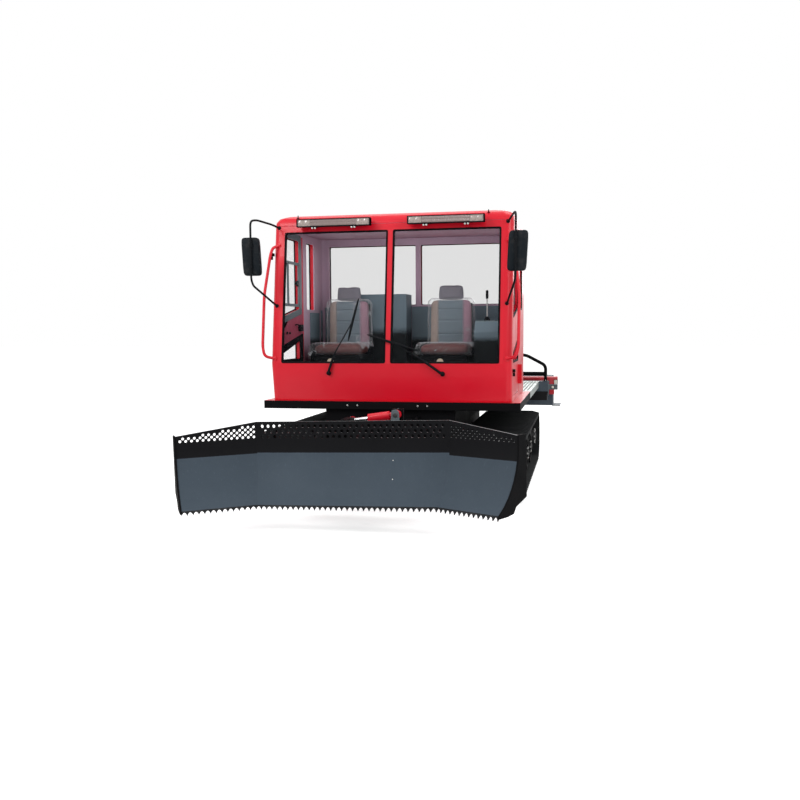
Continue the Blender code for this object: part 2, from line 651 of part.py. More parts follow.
def forward(z):
    """How far the blade's face stands ahead of its upright part at a height."""
    drop = max(0.0, BLADE_BEND - z)
    return BLADE_RADIUS - (BLADE_RADIUS ** 2 - drop ** 2) ** 0.5


def blade_section(high):
    """The plate's section from a top height down: (offset forward, z), front then back."""
    heights = [high] + [BLADE_BEND - (BLADE_BEND - BLADE_LOW) * i / 7 for i in range(8)]
    front = [(forward(z), z) for z in heights] + [(forward(BLADE_LOW) + TOOTH_LEAN, TOOTH_LOW)]
    return front + [(offset - BLADE_THICK, z) for offset, z in reversed(front)]


def middle_point(side, offset, z, slip=0.0):
    """Where a section point meets the fold, on the plane that halves the wing's angle."""
    return side * (FOLD_HALF - tan(WING_ANGLE / 2) * offset - slip), BLADE_Y - offset, z


def wing_point(offset, z, along):
    """A point on the left wing: some way along it from the fold's upright corner."""
    ahead = (cos(WING_ANGLE), -sin(WING_ANGLE))
    out = (-sin(WING_ANGLE), -cos(WING_ANGLE))
    return (FOLD_HALF + ahead[0] * along + out[0] * offset, BLADE_Y + ahead[1] * along + out[1] * offset, z)


def make_blade(holder):
    rings = [[middle_point(side, offset, z) for offset, z in blade_section(BLADE_HIGH)] for side in (-1, 1)]
    node("blade_centre", "slate_paint", [loft(rings)], (), 1, holder)
    for side, name in ((1, "left"), (-1, "right")):
        fold = [middle_point(1, offset, z, -2 * GAP) for offset, z in blade_section(BLADE_HIGH)]
        tip = [wing_point(offset, z, WING_LENGTH) for offset, z in blade_section(WING_HIGH)]
        plate = [(forward(z) + 0.006, z) for z in (WING_HIGH + 0.004, BLADE_BEND, 0.56, 0.46, 0.37, 0.29, BLADE_LOW)]
        plate += [(forward(BLADE_LOW) + 0.012, 0.190), (0.150, 0.190), (0.075, 0.200), (0.045, 0.245),
                  (-END_PLATE_DEPTH, 0.295),
                  (-END_PLATE_DEPTH, WING_HIGH + 0.004)]
        cheek = loft([[wing_point(offset, z, along) for offset, z in plate]
                      for along in (WING_LENGTH - 0.004, WING_LENGTH + 0.010)])
        node(f"blade_wing_{name}", "slate_paint", [loft([fold, tip]), cheek], (), side, holder)
    # Backbone: a box beam behind the middle section, the boss on the nose pin, the tilt rod's lug
    back = BLADE_Y + BLADE_THICK + GAP
    z = TILT_PIN_Z
    beam = box((-0.68, back, 0.40), (0.68, back + 0.07, BLADE_BEND))
    boss = rod((0, back + 0.02, z), (0, BOSS_REAR, z), 0.085, 20)
    bore = rod((0, back + 0.045, z), (0, BOSS_REAR + 0.1, z), 0.045, 20)
    x, y, z = TILT_ROD
    mast = box((x - 0.035, back, 0.60), (x + 0.035, back + 0.04, z + 0.02))
    lug = box((x - 0.030, back + 0.03, z - 0.032), (x + 0.030, y - EYE_HALF - PLAY, z + 0.03))
    node("blade_backbone", "black_paint", [beam, boss, mast, lug], [bore], 1, holder)


def make_cylinder(prefix, base, end, radius, travel, cross, offsets, shaft=0.0):
    """A barrel pinned at its base and a rod that ends in an eye, for each sideways offset."""
    base, end, cross = Vector(base), Vector(end), Vector(cross)
    line, length = (end - base).normalized(), (end - base).length
    mouth = 0.62 * length
    bottom = 0.075
    barrels, bores, rods = [], [], []
    for offset in offsets:
        start, tip = base + cross * offset, end + cross * offset
        barrels.append(rod(start + line * 0.052, start + line * mouth, radius, 20))
        barrels.append(rod(start + line * 0.015, start + line * 0.060, EYE_HALF - 0.002, 12))
        barrels.append(rod(start - cross * EYE_HALF, start + cross * EYE_HALF, EYE_RADIUS, 16))
        bores.append(rod(start + line * bottom, start + line * (mouth + 0.05), radius / 2 + 0.005, 20))
        rods.append(rod(start + line * (bottom + travel + 0.012), tip - line * 0.01, radius / 2, 16))
        rods.append(rod(tip - cross * EYE_HALF, tip + cross * EYE_HALF, EYE_RADIUS - 0.003, 16))
    if shaft:
        barrels.append(rod(base - cross * shaft, base + cross * shaft, 0.018, 12))
        rods.append(rod(end - cross * shaft, end + cross * shaft, 0.016, 12))
    pivot = axis_empty(f"{prefix}_barrel_axis", base)
    node(f"{prefix}_barrel", "red_paint", barrels, bores, 1, pivot)
    node(f"{prefix}_rod", "chrome_rod", rods, (), 1, axis_empty(f"{prefix}_rod_axis", end))


def make_push_frame():
    axis_y, axis_z = PUSH_AXIS
    holder = axis_empty("blade_lift_axis", (0.0, axis_y, axis_z))
    front, rear = PUSH_FRONT, PUSH_FRONT + 0.12
    solids = [box((-0.46, front, 0.36), (0.46, rear, 0.49))]
    arm = ((axis_y - 0.02, axis_z + 0.045), (rear - 0.02, 0.48), (rear - 0.02, 0.37),
           (axis_y - 0.02, axis_z - 0.045), (axis_y + 0.03, axis_z - 0.03), (axis_y + 0.045, axis_z),
           (axis_y + 0.03, axis_z + 0.03))
    outer = PUSH_LUG_X - LUG_THICK / 2 - PLAY
    for side in (-1, 1):
        solids.append(side_prism(arm, *sorted((side * (outer - 0.045), side * outer))))
    solids.append(rod((0, front + 0.02, TILT_PIN_Z), (0, BLADE_Y + 0.075, TILT_PIN_Z), 0.040, 20))
    solids.append(box((-0.10, front, 0.37), (0.10, front + 0.06, 0.58)))
    # Mast for the tilt cylinder, and the lugs that the lift rods raise
    x, y, z = TILT_BASE
    solids.append(box((x - 0.045, y + EYE_HALF + PLAY, 0.38), (x + 0.045, y + EYE_HALF + 0.045, z + 0.04)))
    solids.append(box((x - 0.045, y + EYE_HALF + 0.02, 0.38), (x + 0.045, front + 0.02, 0.48)))
    rod_y, rod_z = LIFT_ROD
    tongue = ((rod_y + 0.04, rod_z), (rod_y + 0.02, rod_z + 0.04), (rod_y - 0.03, rod_z + 0.045),
              (rear - 0.01, 0.47), (rear - 0.01, 0.38), (rod_y + 0.01, rod_z - 0.04))
    for side in (-1, 1):
        px = side * LIFT_LUG_X
        solids.append(side_prism(tongue, px - LUG_THICK / 2, px + LUG_THICK / 2))
    node("push_frame", "black_paint", solids, (), 1, holder)


def make_front():
    make_push_frame()
    make_blade(axis_empty("blade_tilt_axis", (0.0, BLADE_Y, TILT_PIN_Z), (0.0, REST_TILT, 0.0)))
    along_x, along_y = (1.0, 0.0, 0.0), (0.0, 1.0, 0.0)
    make_cylinder("lift", (0.0, *LIFT_BASE), (0.0, *LIFT_ROD), 0.034, 0.080, along_x,
                  (-LIFT_X, LIFT_X), LIFT_X + 0.035)
    x, y, z = TILT_ROD
    turned = Matrix.Rotation(REST_TILT, 3, "Y") @ Vector((x, 0.0, z - TILT_PIN_Z))
    make_cylinder("tilt", TILT_BASE, (turned.x, y, turned.z + TILT_PIN_Z), 0.034, 0.037, along_y, (0.0,))


# --- tiller --------------------------------------------------------------------------------------

def make_tiller():
    axis_y, axis_z = TILLER_AXIS
    holder = axis_empty("tiller_lift_axis", (0.0, axis_y, axis_z))
    rotor_y, rotor_z = ROTOR
    # Frame: two arms, a cross beam, the long red tube and its end brackets
    joint_y = rotor_y - HOOD_RADIUS - GAP
    arm = ((axis_y - 0.04, axis_z), (axis_y - 0.02, axis_z + 0.035), (2.20, 0.675), (joint_y, 0.74),
           (joint_y, 0.65), (2.22, 0.585), (axis_y, axis_z - 0.045))
    outer = TILLER_LUG_X - LUG_THICK / 2 - PLAY
    solids = [box((-outer, 2.262, 0.60), (outer, 2.33, 0.69))]
    for side in (-1, 1):
        solids.append(side_prism(arm, *sorted((side * (outer - 0.05), side * outer))))
        solids.append(box((side * 0.41 - 0.03, 2.33, 0.68), (side * 0.41 + 0.03, 2.39, 0.83)))
        solids.append(side_prism(((2.33, 0.66), (2.39, 0.66), (2.39, 0.85), (2.33, 0.85)),
                                 *sorted((side * 1.262, side * 1.318))))
        lug_x = side * (EYE_HALF + PLAY + LUG_THICK / 2)
        solids.append(side_prism(((TILLER_ROD[0] - 0.035, 0.585), (TILLER_ROD[0] - 0.01, 0.635), (2.27, 0.665),
                                  (2.27, 0.61), (TILLER_ROD[0], 0.565)),
                                 lug_x - LUG_THICK / 2, lug_x + LUG_THICK / 2))
    solids.append(rod((-1.36, 2.36, 0.85), (1.36, 2.36, 0.85), 0.030, 16))
    node("tiller_frame", "red_paint", solids, (), 1, holder)
    # Hood: a bent sheet over the rotor with closed ends and a skid plate at each end
    steps = 14
    shell, room = [], []
    for outline, radius in ((shell, HOOD_RADIUS), (room, HOOD_RADIUS - 0.014)):
        low = HOOD_LOW if outline is shell else HOOD_LOW - 0.1
        outline.append((rotor_y + radius, low))
        outline.extend((rotor_y + radius * cos(pi * i / steps), rotor_z + radius * sin(pi * i / steps))
                       for i in range(steps + 1))
        outline.append((rotor_y - radius, low))
    skid_low = HOOD_LOW - 0.007
    skids = [box((side * SKID_X - 0.05, rotor_y - 0.17, skid_low),
                 (side * SKID_X + 0.05, rotor_y + 0.15, skid_low + SKID_THICK)) for side in (-1, 1)]
    node("tiller_hood", "slate_paint", [side_prism(shell, -TILLER_HALF, TILLER_HALF)] + skids,
         [side_prism(room, -TILLER_HALF + 0.014, TILLER_HALF - 0.014)], 1, holder)
    # Comb that trails behind the hood
    heel = rotor_y + HOOD_RADIUS + GAP
    comb = ((heel, 0.66), (heel, 0.61), (2.865, 0.545), (TILLER_REAR, 0.552), (heel + 0.03, 0.66))
    node("tiller_comb", "rubber", [side_prism(comb, -1.27, 1.27)], (), 1, holder)
    # Rotor: a drum with rows of teeth that wind round it
    spin = axis_empty("tiller_rotor_axis", (0.0, rotor_y, rotor_z))
    drum = [rod((-1.27, rotor_y, rotor_z), (1.27, rotor_y, rotor_z), 0.040, 16),
            rod((-1.22, rotor_y, rotor_z), (1.22, rotor_y, rotor_z), ROTOR_CORE, 16)]
    for i in range(TOOTH_ROWS):
        angle = i * radians(75.0)
        x = -1.17 + 2.34 * i / (TOOTH_ROWS - 1)
        for turn in (angle, angle + pi):
            ahead = Vector((0.0, cos(turn), sin(turn)))
            across = Vector((0.0, -sin(turn), cos(turn)))
            centre = Vector((x, rotor_y, rotor_z))
            rings = []
            for reach, half in ((ROTOR_CORE - 0.02, 0.020), (ROTOR_TIP, 0.010)):
                rings.append([centre + ahead * reach + across * a * half + Vector((b * 0.018, 0.0, 0.0))
                              for a, b in ((-1, -1), (1, -1), (1, 1), (-1, 1))])
            drum.append(loft(rings))
    node("tiller_rotor", "cast_iron", drum, (), 1, spin)
    make_cylinder("tiller_lift", (0.0, *TILLER_BASE), (0.0, *TILLER_ROD), 0.034, 0.085, (1.0, 0.0, 0.0), (0.0,))


clear_scene()
make_chassis()
make_deck()
make_rear_beam()
make_cab_shell()
make_roof()
make_floor()
make_glass()
make_interior()
make_engine_bay()
for side, name in ((1, "left"), (-1, "right")):
    make_door(side, name)
    make_cab_fittings(side, name)
    make_running_gear(side, name)
make_front()
make_tiller()
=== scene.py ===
"""Looks of a compact tracked snow groomer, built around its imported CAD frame.

Metres. The front looks along -Y, the machine's left side is +X, and the tracks stand on Z = 0.
"""
import json
import logging
from dataclasses import dataclass, replace
from enum import Enum
from math import cos, pi, radians, sin, tan

import bmesh
import bpy
import numpy as np
from mathutils import Matrix, Vector


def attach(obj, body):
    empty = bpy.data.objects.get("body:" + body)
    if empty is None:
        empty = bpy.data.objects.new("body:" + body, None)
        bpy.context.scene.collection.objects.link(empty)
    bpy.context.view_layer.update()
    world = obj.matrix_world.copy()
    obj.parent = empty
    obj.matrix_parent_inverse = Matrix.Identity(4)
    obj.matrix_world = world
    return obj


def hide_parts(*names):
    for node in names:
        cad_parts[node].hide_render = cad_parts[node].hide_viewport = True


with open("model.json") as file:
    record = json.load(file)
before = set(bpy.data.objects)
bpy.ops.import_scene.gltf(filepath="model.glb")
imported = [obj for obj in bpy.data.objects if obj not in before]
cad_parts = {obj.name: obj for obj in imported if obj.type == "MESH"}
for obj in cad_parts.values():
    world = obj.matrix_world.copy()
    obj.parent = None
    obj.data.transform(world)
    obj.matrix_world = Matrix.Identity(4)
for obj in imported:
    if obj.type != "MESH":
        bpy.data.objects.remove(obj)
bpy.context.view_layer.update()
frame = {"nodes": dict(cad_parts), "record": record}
log = logging.getLogger("groomer")
Array = np.ndarray
Colour = tuple[float, float, float]
Faces = list[list[int]]


class Body(Enum):
    """The CAD bodies that pieces ride on."""
    MACHINE = "machine"
    DOOR_LEFT = "door_left"
    DOOR_RIGHT = "door_right"
    BLADE = "blade"
    TILLER = "tiller"
    HOOD = "engine_hood"
    PUSH_FRAME = "push_frame"
    TILT_BARREL = "tilt_barrel"


# --- shader node groups ------------------------------------------------------------------------

def new_group(name: str, ins: list[tuple[str, str, object]], outs: list[tuple[str, str]]):
    """Starts a shader node group.

    Args:
        name: the group's name.
        ins: socket name, socket type and default of each input.
        outs: socket name and socket type of each output.

    Returns:
        The group, its input node and its output node.
    """
    group = bpy.data.node_groups.new(name, "ShaderNodeTree")
    for socket, kind, default in ins:
        made = group.interface.new_socket(name=socket, in_out="INPUT", socket_type=kind)
        if default is not None:
            made.default_value = default
    for socket, kind in outs:
        group.interface.new_socket(name=socket, in_out="OUTPUT", socket_type=kind)
    return group, group.nodes.new("NodeGroupInput"), group.nodes.new("NodeGroupOutput")


def noise(group, vector, scale: float, detail: float = 4.0, rough: float = 0.6):
    """Adds a noise texture to a tree and returns its factor socket."""
    node = group.nodes.new("ShaderNodeTexNoise")
    node.inputs["Scale"].default_value = scale
    node.inputs["Detail"].default_value = detail
    node.inputs["Roughness"].default_value = rough
    group.links.new(vector, node.inputs["Vector"])
    return node.outputs["Fac"]


def math(group, operation: str, first, second=0.5, third=None, clamp: bool = False):
    """Adds a maths node fed by sockets or numbers and returns its output."""
    node = group.nodes.new("ShaderNodeMath")
    node.operation = operation
    node.use_clamp = clamp
    for place, value in enumerate((first, second, third)):
        if value is None:
            continue
        if isinstance(value, (int, float)):
            node.inputs[place].default_value = value
        else:
            group.links.new(value, node.inputs[place])
    return node.outputs[0]


def stretch(group, value, low: float, high: float, to_low=0.0, to_high=1.0):
    """Adds a clamped map range and returns its output."""
    node = group.nodes.new("ShaderNodeMapRange")
    node.inputs["From Min"].default_value = low
    node.inputs["From Max"].default_value = high
    for name, bound in (("To Min", to_low), ("To Max", to_high)):
        if isinstance(bound, (int, float)):
            node.inputs[name].default_value = bound
        else:
            group.links.new(bound, node.inputs[name])
    group.links.new(value, node.inputs["Value"])
    return node.outputs["Result"]


def mix_colour(group, factor, first, second):
    """Adds a colour mix fed by sockets or colours and returns its output."""
    node = group.nodes.new("ShaderNodeMix")
    node.data_type = "RGBA"
    for place, value in ((0, factor), (6, first), (7, second)):
        if isinstance(value, tuple):
            node.inputs[place].default_value = (*value, 1.0)
        elif isinstance(value, (int, float)):
            node.inputs[place].default_value = value
        else:
            group.links.new(value, node.inputs[place])
    return node.outputs[2]


def surface_group():
    """Builds the shared group of small unevenness: cloudy colour, dust, scuffs, grain height."""
    ins = [("Vector", "NodeSocketVector", None), ("Colour", "NodeSocketColor", (0.5, 0.5, 0.5, 1.0)),
           ("Dust Colour", "NodeSocketColor", (0.3, 0.27, 0.24, 1.0)), ("Cloud", "NodeSocketFloat", 0.1),
           ("Dust", "NodeSocketFloat", 0.1), ("Rough", "NodeSocketFloat", 0.4), ("Grain Scale", "NodeSocketFloat", 300.0)]
    outs = [("Colour", "NodeSocketColor"), ("Roughness", "NodeSocketFloat"), ("Height", "NodeSocketFloat")]
    group, start, end = new_group("uneven_surface", ins, outs)
    vector = start.outputs["Vector"]
    cloud = stretch(group, noise(group, vector, 1.7, 3.0), 0.3, 0.7, -1.0, 1.0)
    shade = math(group, "MULTIPLY_ADD", cloud, start.outputs["Cloud"], 1.0)
    scaled = group.nodes.new("ShaderNodeVectorMath")
    scaled.operation = "SCALE"
    group.links.new(start.outputs["Colour"], scaled.inputs[0])
    group.links.new(shade, scaled.inputs["Scale"])
    patches = stretch(group, noise(group, vector, 9.0, 8.0, 0.7), 0.48, 0.72)
    mask = math(group, "MULTIPLY", patches, start.outputs["Dust"], clamp=True)
    group.links.new(mix_colour(group, mask, scaled.outputs[0], start.outputs["Dust Colour"]), end.inputs["Colour"])
    smear = stretch(group, noise(group, vector, 4.0, 5.0), 0.3, 0.7, -0.06, 0.08)
    rough = math(group, "ADD", start.outputs["Rough"], smear)
    group.links.new(math(group, "MULTIPLY_ADD", mask, 0.35, rough, clamp=True), end.inputs["Roughness"])
    grain = group.nodes.new("ShaderNodeTexNoise")
    grain.inputs["Detail"].default_value = 3.0
    group.links.new(vector, grain.inputs["Vector"])
    group.links.new(start.outputs["Grain Scale"], grain.inputs["Scale"])
    group.links.new(grain.outputs["Fac"], end.inputs["Height"])
    return group


class Pattern(Enum):
    """Extra relief or colour that a finish can carry."""
    NONE = "none"
    SEAT = "seat"
    FILM = "film"


@dataclass(frozen=True)
class Change:
    """A second colour past a line across a surface, with a slightly ragged edge.

    A point takes the colour where its product with the direction passes the mark.
    """
    mark: float
    colour: Colour
    along: tuple[float, float, float] = (0.0, 0.0, 1.0)
    soft: float = 0.003
    ragged: float = 0.004

    def applied(self, tree, place, colour):
        """Returns the colour socket with the second colour mixed in."""
        product = tree.nodes.new("ShaderNodeVectorMath")
        product.operation = "DOT_PRODUCT"
        product.inputs[1].default_value = self.along
        tree.links.new(place, product.inputs[0])
        reach = math(tree, "MULTIPLY_ADD", noise(tree, place, 60.0), self.ragged, product.outputs["Value"])
        past = stretch(tree, reach, self.mark, self.mark + self.soft)
        return mix_colour(tree, past, colour, self.colour)


@dataclass(frozen=True)
class Finish:
    """One surface finish, made into a material on first use."""
    name: str
    slot: str
    colour: Colour
    rough: float = 0.4
    metallic: float = 0.0
    specular: float = 0.5
    coat: float = 0.0
    cloud: float = 0.08
    dust: float = 0.1
    dust_colour: Colour = (0.25, 0.22, 0.20)
    grain: float = 400.0
    relief: float = 0.05
    scrape: float = 0.0
    alpha: float = 1.0
    glow: float = 0.0
    change: Change | None = None
    pattern: Pattern = Pattern.NONE

    def material(self):
        """Returns the finish's Principled material."""
        # the ending keeps it apart from the frame's own materials
        label = f"{self.name}_finish"
        found = bpy.data.materials.get(label)
        if found:
            return found
        made = bpy.data.materials.new(label)
        made.use_nodes = True
        tree = made.node_tree
        shader = tree.nodes["Principled BSDF"]
        place = tree.nodes.new("ShaderNodeTexCoord").outputs["Object"]
        group = tree.nodes.new("ShaderNodeGroup")
        group.node_tree = bpy.data.node_groups.get("uneven_surface") or surface_group()
        tree.links.new(place, group.inputs["Vector"])
        group.inputs["Colour"].default_value = (*self.colour, 1.0)
        group.inputs["Dust Colour"].default_value = (*self.dust_colour, 1.0)
        for socket, value in (("Cloud", self.cloud), ("Dust", self.dust), ("Rough", self.rough),
                              ("Grain Scale", self.grain)):
            group.inputs[socket].default_value = value
        colour, height = group.outputs["Colour"], group.outputs["Height"]
        distance = 0.0004
        shader.inputs["Alpha"].default_value = self.alpha
        if self.scrape:
            colour = self.scraped(tree, place, colour)
        if self.change:
            colour = self.change.applied(tree, place, colour)
        if self.pattern is Pattern.SEAT:
            colour, height, distance = self.seat(tree, place, colour, height)
        elif self.pattern is Pattern.FILM:
            height, cover, distance = self.film(tree, place)
            # the alpha carries the film's painted highlights and painted reflection
            tree.links.new(cover, shader.inputs["Alpha"])
        tree.links.new(colour, shader.inputs["Base Color"])
        tree.links.new(group.outputs["Roughness"], shader.inputs["Roughness"])
        bump = tree.nodes.new("ShaderNodeBump")
        bump.inputs["Strength"].default_value = min(1.0, self.relief)
        bump.inputs["Distance"].default_value = distance
        tree.links.new(height, bump.inputs["Height"])
        tree.links.new(bump.outputs["Normal"], shader.inputs["Normal"])
        shader.inputs["Metallic"].default_value = self.metallic
        shader.inputs["Specular IOR Level"].default_value = self.specular
        shader.inputs["Coat Weight"].default_value = self.coat
        shader.inputs["Coat Roughness"].default_value = 0.06
        if self.glow:
            shader.inputs["Emission Color"].default_value = (*self.colour, 1.0)
            shader.inputs["Emission Strength"].default_value = self.glow
        return made

    def scraped(self, tree, place, colour):
        """Thin upright scrapes: noise stretched along Z, cut high, in a paler shade."""
        mapping = tree.nodes.new("ShaderNodeMapping")
        mapping.inputs["Scale"].default_value = (26.0, 26.0, 2.0)
        tree.links.new(place, mapping.inputs["Vector"])
        mask = stretch(tree, noise(tree, mapping.outputs["Vector"], 3.0, 6.0), 0.60, 0.80, 0.0, self.scrape)
        return mix_colour(tree, mask, colour, tuple(min(1.0, 2.2 * v + 0.02) for v in self.colour))

    def seat(self, tree, place, colour, height):
        """A cover in three panels, told apart by the attribute "panel": side, middle, side."""
        panel = tree.nodes.new("ShaderNodeAttribute")
        panel.attribute_name = "panel"
        middle = mix_colour(tree, stretch(tree, panel.outputs["Fac"], 0.18, 0.24), colour, (0.115, 0.150, 0.178))
        last = mix_colour(tree, stretch(tree, panel.outputs["Fac"], 0.76, 0.82), middle, (0.30, 0.165, 0.215))
        weave = noise(tree, place, 260.0, 2.0)
        return last, math(tree, "ADD", height, weave), 0.0006

    def film(self, tree, place):
        """Clear film: folded noise gives creases as bump height, and the alpha carries painted light: a painted
        highlight along thin crease lines and a painted reflection that grows towards grazing view.
        """
        warp = tree.nodes.new("ShaderNodeVectorMath")
        warp.operation = "ADD"
        tree.links.new(place, warp.inputs[0])
        tree.links.new(noise(tree, place, 6.0, 2.0), warp.inputs[1])
        squeezed = tree.nodes.new("ShaderNodeMapping")
        squeezed.inputs["Scale"].default_value = (1.0, 1.0, 0.45)
        tree.links.new(warp.outputs[0], squeezed.inputs["Vector"])
        folded = math(tree, "SUBTRACT", noise(tree, squeezed.outputs["Vector"], 9.0, 1.0), 0.5)
        fold = math(tree, "ABSOLUTE", folded)
        crease = stretch(tree, fold, 0.0, 0.09, 1.0, 0.0)
        thin = stretch(tree, noise(tree, place, 5.0, 1.0), 0.50, 0.62, 0.0, 0.45)
        # painted highlight: the film's pale colour shows along thin crease lines
        painted_glint = math(tree, "MULTIPLY", stretch(tree, fold, 0.0, 0.022, 1.0, 0.0), thin)
        # painted reflection: the film's pale colour grows towards grazing view
        rim = tree.nodes.new("ShaderNodeLayerWeight")
        rim.inputs["Blend"].default_value = 0.30
        edge = stretch(tree, rim.outputs["Facing"], 0.16, 0.90, self.alpha, 0.50)
        return crease, math(tree, "ADD", painted_glint, edge, clamp=True), 0.004


# Near black: painted reflection of the dark ground mirrored in the windscreen, laid on the cab's lining below about 1.4
# m.
PAINTED_DARK_REFLECTION = (0.0035, 0.005, 0.006)
RED = Finish("red_paint", "cab_paint", (0.61, 0.004, 0.018), 0.34, specular=0.3, coat=0.10, cloud=0.03, dust=0.02,
             dust_colour=(0.55, 0.10, 0.10), relief=0.02)
DEEP_RED = Finish("deep_red_paint", "cab_paint", (0.42, 0.010, 0.020), 0.35, coat=0.4, dust=0.05)
DOOR_INNER = Finish("door_inner_paint", "cab_paint", (0.34, 0.055, 0.095), 0.5, specular=0.2, cloud=0.12, dust=0.15,
                    dust_colour=(0.10, 0.03, 0.05))
# Below about 1.42 m the change fades it to dark maroon: painted reflection of the dark ground mirrored in the
# windscreen.
CAB_INNER = Finish("cab_inner_paint", "cab_paint", (0.43, 0.30, 0.385), 0.55, specular=0.2, cloud=0.06, dust=0.05,
                   change=Change(-1.42, (0.10, 0.018, 0.035), (0.0, 0.0, -1.0), 0.25, 0.02))
BLACK = Finish("black_paint", "black_paint", (0.0032, 0.0032, 0.0038), 0.60, specular=0.05, dust=0.05,
               dust_colour=(0.02, 0.02, 0.02))
SLATE = Finish("slate_paint", "slate_paint", (0.062, 0.082, 0.102), 0.45, specular=0.2, dust=0.12,
               dust_colour=(0.12, 0.14, 0.16))
BEAM_PAINT = replace(SLATE, name="beam_paint", change=Change(-0.717, (0.006, 0.006, 0.007), (0.0, 0.0, -1.0)))
FACE = Finish("blade_paint", "slate_paint", (0.051, 0.068, 0.087), 0.62, specular=0.10, cloud=0.05, dust=0.12,
              dust_colour=(0.085, 0.105, 0.125), scrape=0.22)
WORN = Finish("worn_edge", "slate_paint", (0.16, 0.165, 0.17), 0.5, dust=0.3, dust_colour=(0.03, 0.03, 0.03))
TOOTH = Finish("tooth_steel", "black_paint", (0.012, 0.013, 0.015), 0.5, 0.2, specular=0.1, dust=0.3, dust_colour=(0.09, 0.09, 0.09))
PLATE = Finish("tread_plate", "tread_plate", (0.36, 0.40, 0.385), 0.38, 0.75, dust=0.35,
               dust_colour=(0.16, 0.18, 0.17), relief=0.2)
RUBBER = Finish("track_rubber", "track_rubber", (0.013, 0.014, 0.015), 0.85, specular=0.10, dust=0.30,
                dust_colour=(0.035, 0.037, 0.036), relief=0.4)
SEAL = Finish("seal_rubber", "track_rubber", (0.0025, 0.002, 0.003), 0.6, specular=0.05, dust=0.05, relief=0.1)
GLASS = Finish("tinted_glass", "clear_glass", (0.025, 0.028, 0.032), 0.03, specular=0.10, cloud=0.0, dust=0.0, relief=0.0,
               alpha=0.075)
MAROON = Finish("maroon_vinyl", "seat_vinyl", (0.130, 0.036, 0.034), 0.42, specular=0.3, coat=0.10, relief=0.5, grain=500.0,
                dust=0.12, dust_colour=(0.30, 0.20, 0.15))
SEAT_CLOTH = Finish("seat_cloth", "seat_vinyl", (0.28, 0.215, 0.185), 0.75, specular=0.25, relief=0.8, cloud=0.05,
                    dust=0.05, pattern=Pattern.SEAT)
HEAD_CLOTH = Finish("head_cloth", "seat_vinyl", (0.165, 0.160, 0.185), 0.8, specular=0.1, relief=0.8, grain=260.0)
# Its pale colour shows only where the alpha rises: painted highlights along creases and a painted reflection towards
# grazing view.
FILM = Finish("clear_film", "seat_vinyl", (0.80, 0.83, 0.86), 0.14, coat=0.3, cloud=0.0, dust=0.0, relief=1.0,
              alpha=0.03, pattern=Pattern.FILM)
# Below about 1.375 m the change turns it near black: painted reflection of the dark ground mirrored in the windscreen.
TRIM = Finish("grained_trim", "trim_grey", (0.125, 0.170, 0.200), 0.6, specular=0.15, grain=700.0, relief=0.06,
              cloud=0.05, dust=0.03, change=Change(-1.375, PAINTED_DARK_REFLECTION, (0.0, 0.0, -1.0), 0.05, 0.05))
# The same painted reflection of the dark ground, below about 1.45 m.
CABINET_TRIM = replace(TRIM, name="cabinet_trim", change=Change(-1.45, PAINTED_DARK_REFLECTION, (0.0, 0.0, -1.0), 0.07, 0.08))
PALE_TRIM = Finish("pale_trim", "trim_grey", (0.17, 0.22, 0.24), 0.5, dust=0.05)
FRAME_TRIM = Finish("frame_trim", "trim_grey", (0.115, 0.140, 0.155), 0.55, specular=0.15, cloud=0.04, dust=0.03)
CREAM = Finish("cream_plastic", "trim_grey", (0.62, 0.56, 0.42), 0.45)
PLASTIC = Finish("black_plastic", "black_plastic", (0.0050, 0.0060, 0.0075), 0.5, specular=0.08, grain=900.0,
                 relief=0.08, dust=0.04, dust_colour=(0.02, 0.02, 0.02))
MIRROR_SHELL = Finish("mirror_shell", "black_plastic", (0.007, 0.010, 0.013), 0.55, specular=0.08, grain=900.0,
                      relief=0.08)
LENS = Finish("lamp_lens", "lamp_clear", (0.62, 0.60, 0.52), 0.12, coat=1.0, dust=0.02, glow=0.08)
BAR_LENS = Finish("bar_lens", "lamp_clear", (0.225, 0.165, 0.155), 0.22, coat=0.7, dust=0.05)
SPOT_LENS = Finish("spot_lens", "lamp_clear", (0.34, 0.28, 0.25), 0.14, coat=1.0, dust=0.02)
RED_LENS = Finish("red_lens", "lamp_clear", (0.50, 0.01, 0.01), 0.15, coat=1.0, dust=0.02)
MIRROR = Finish("mirror_glass", "chrome_rod", (0.85, 0.86, 0.87), 0.03, 1.0, dust=0.02, relief=0.0)
CAST = Finish("cast_steel", "raw_steel", (0.05, 0.05, 0.052), 0.55, 0.6, dust=0.3, dust_colour=(0.06, 0.055, 0.05),
              relief=0.4)
ZINC = Finish("zinc_bolt", "chrome_rod", (0.62, 0.62, 0.60), 0.30, 1.0, dust=0.1)
CHROME = Finish("polished_rod", "chrome_rod", (0.78, 0.79, 0.80), 0.10, 1.0, dust=0.02, relief=0.0)

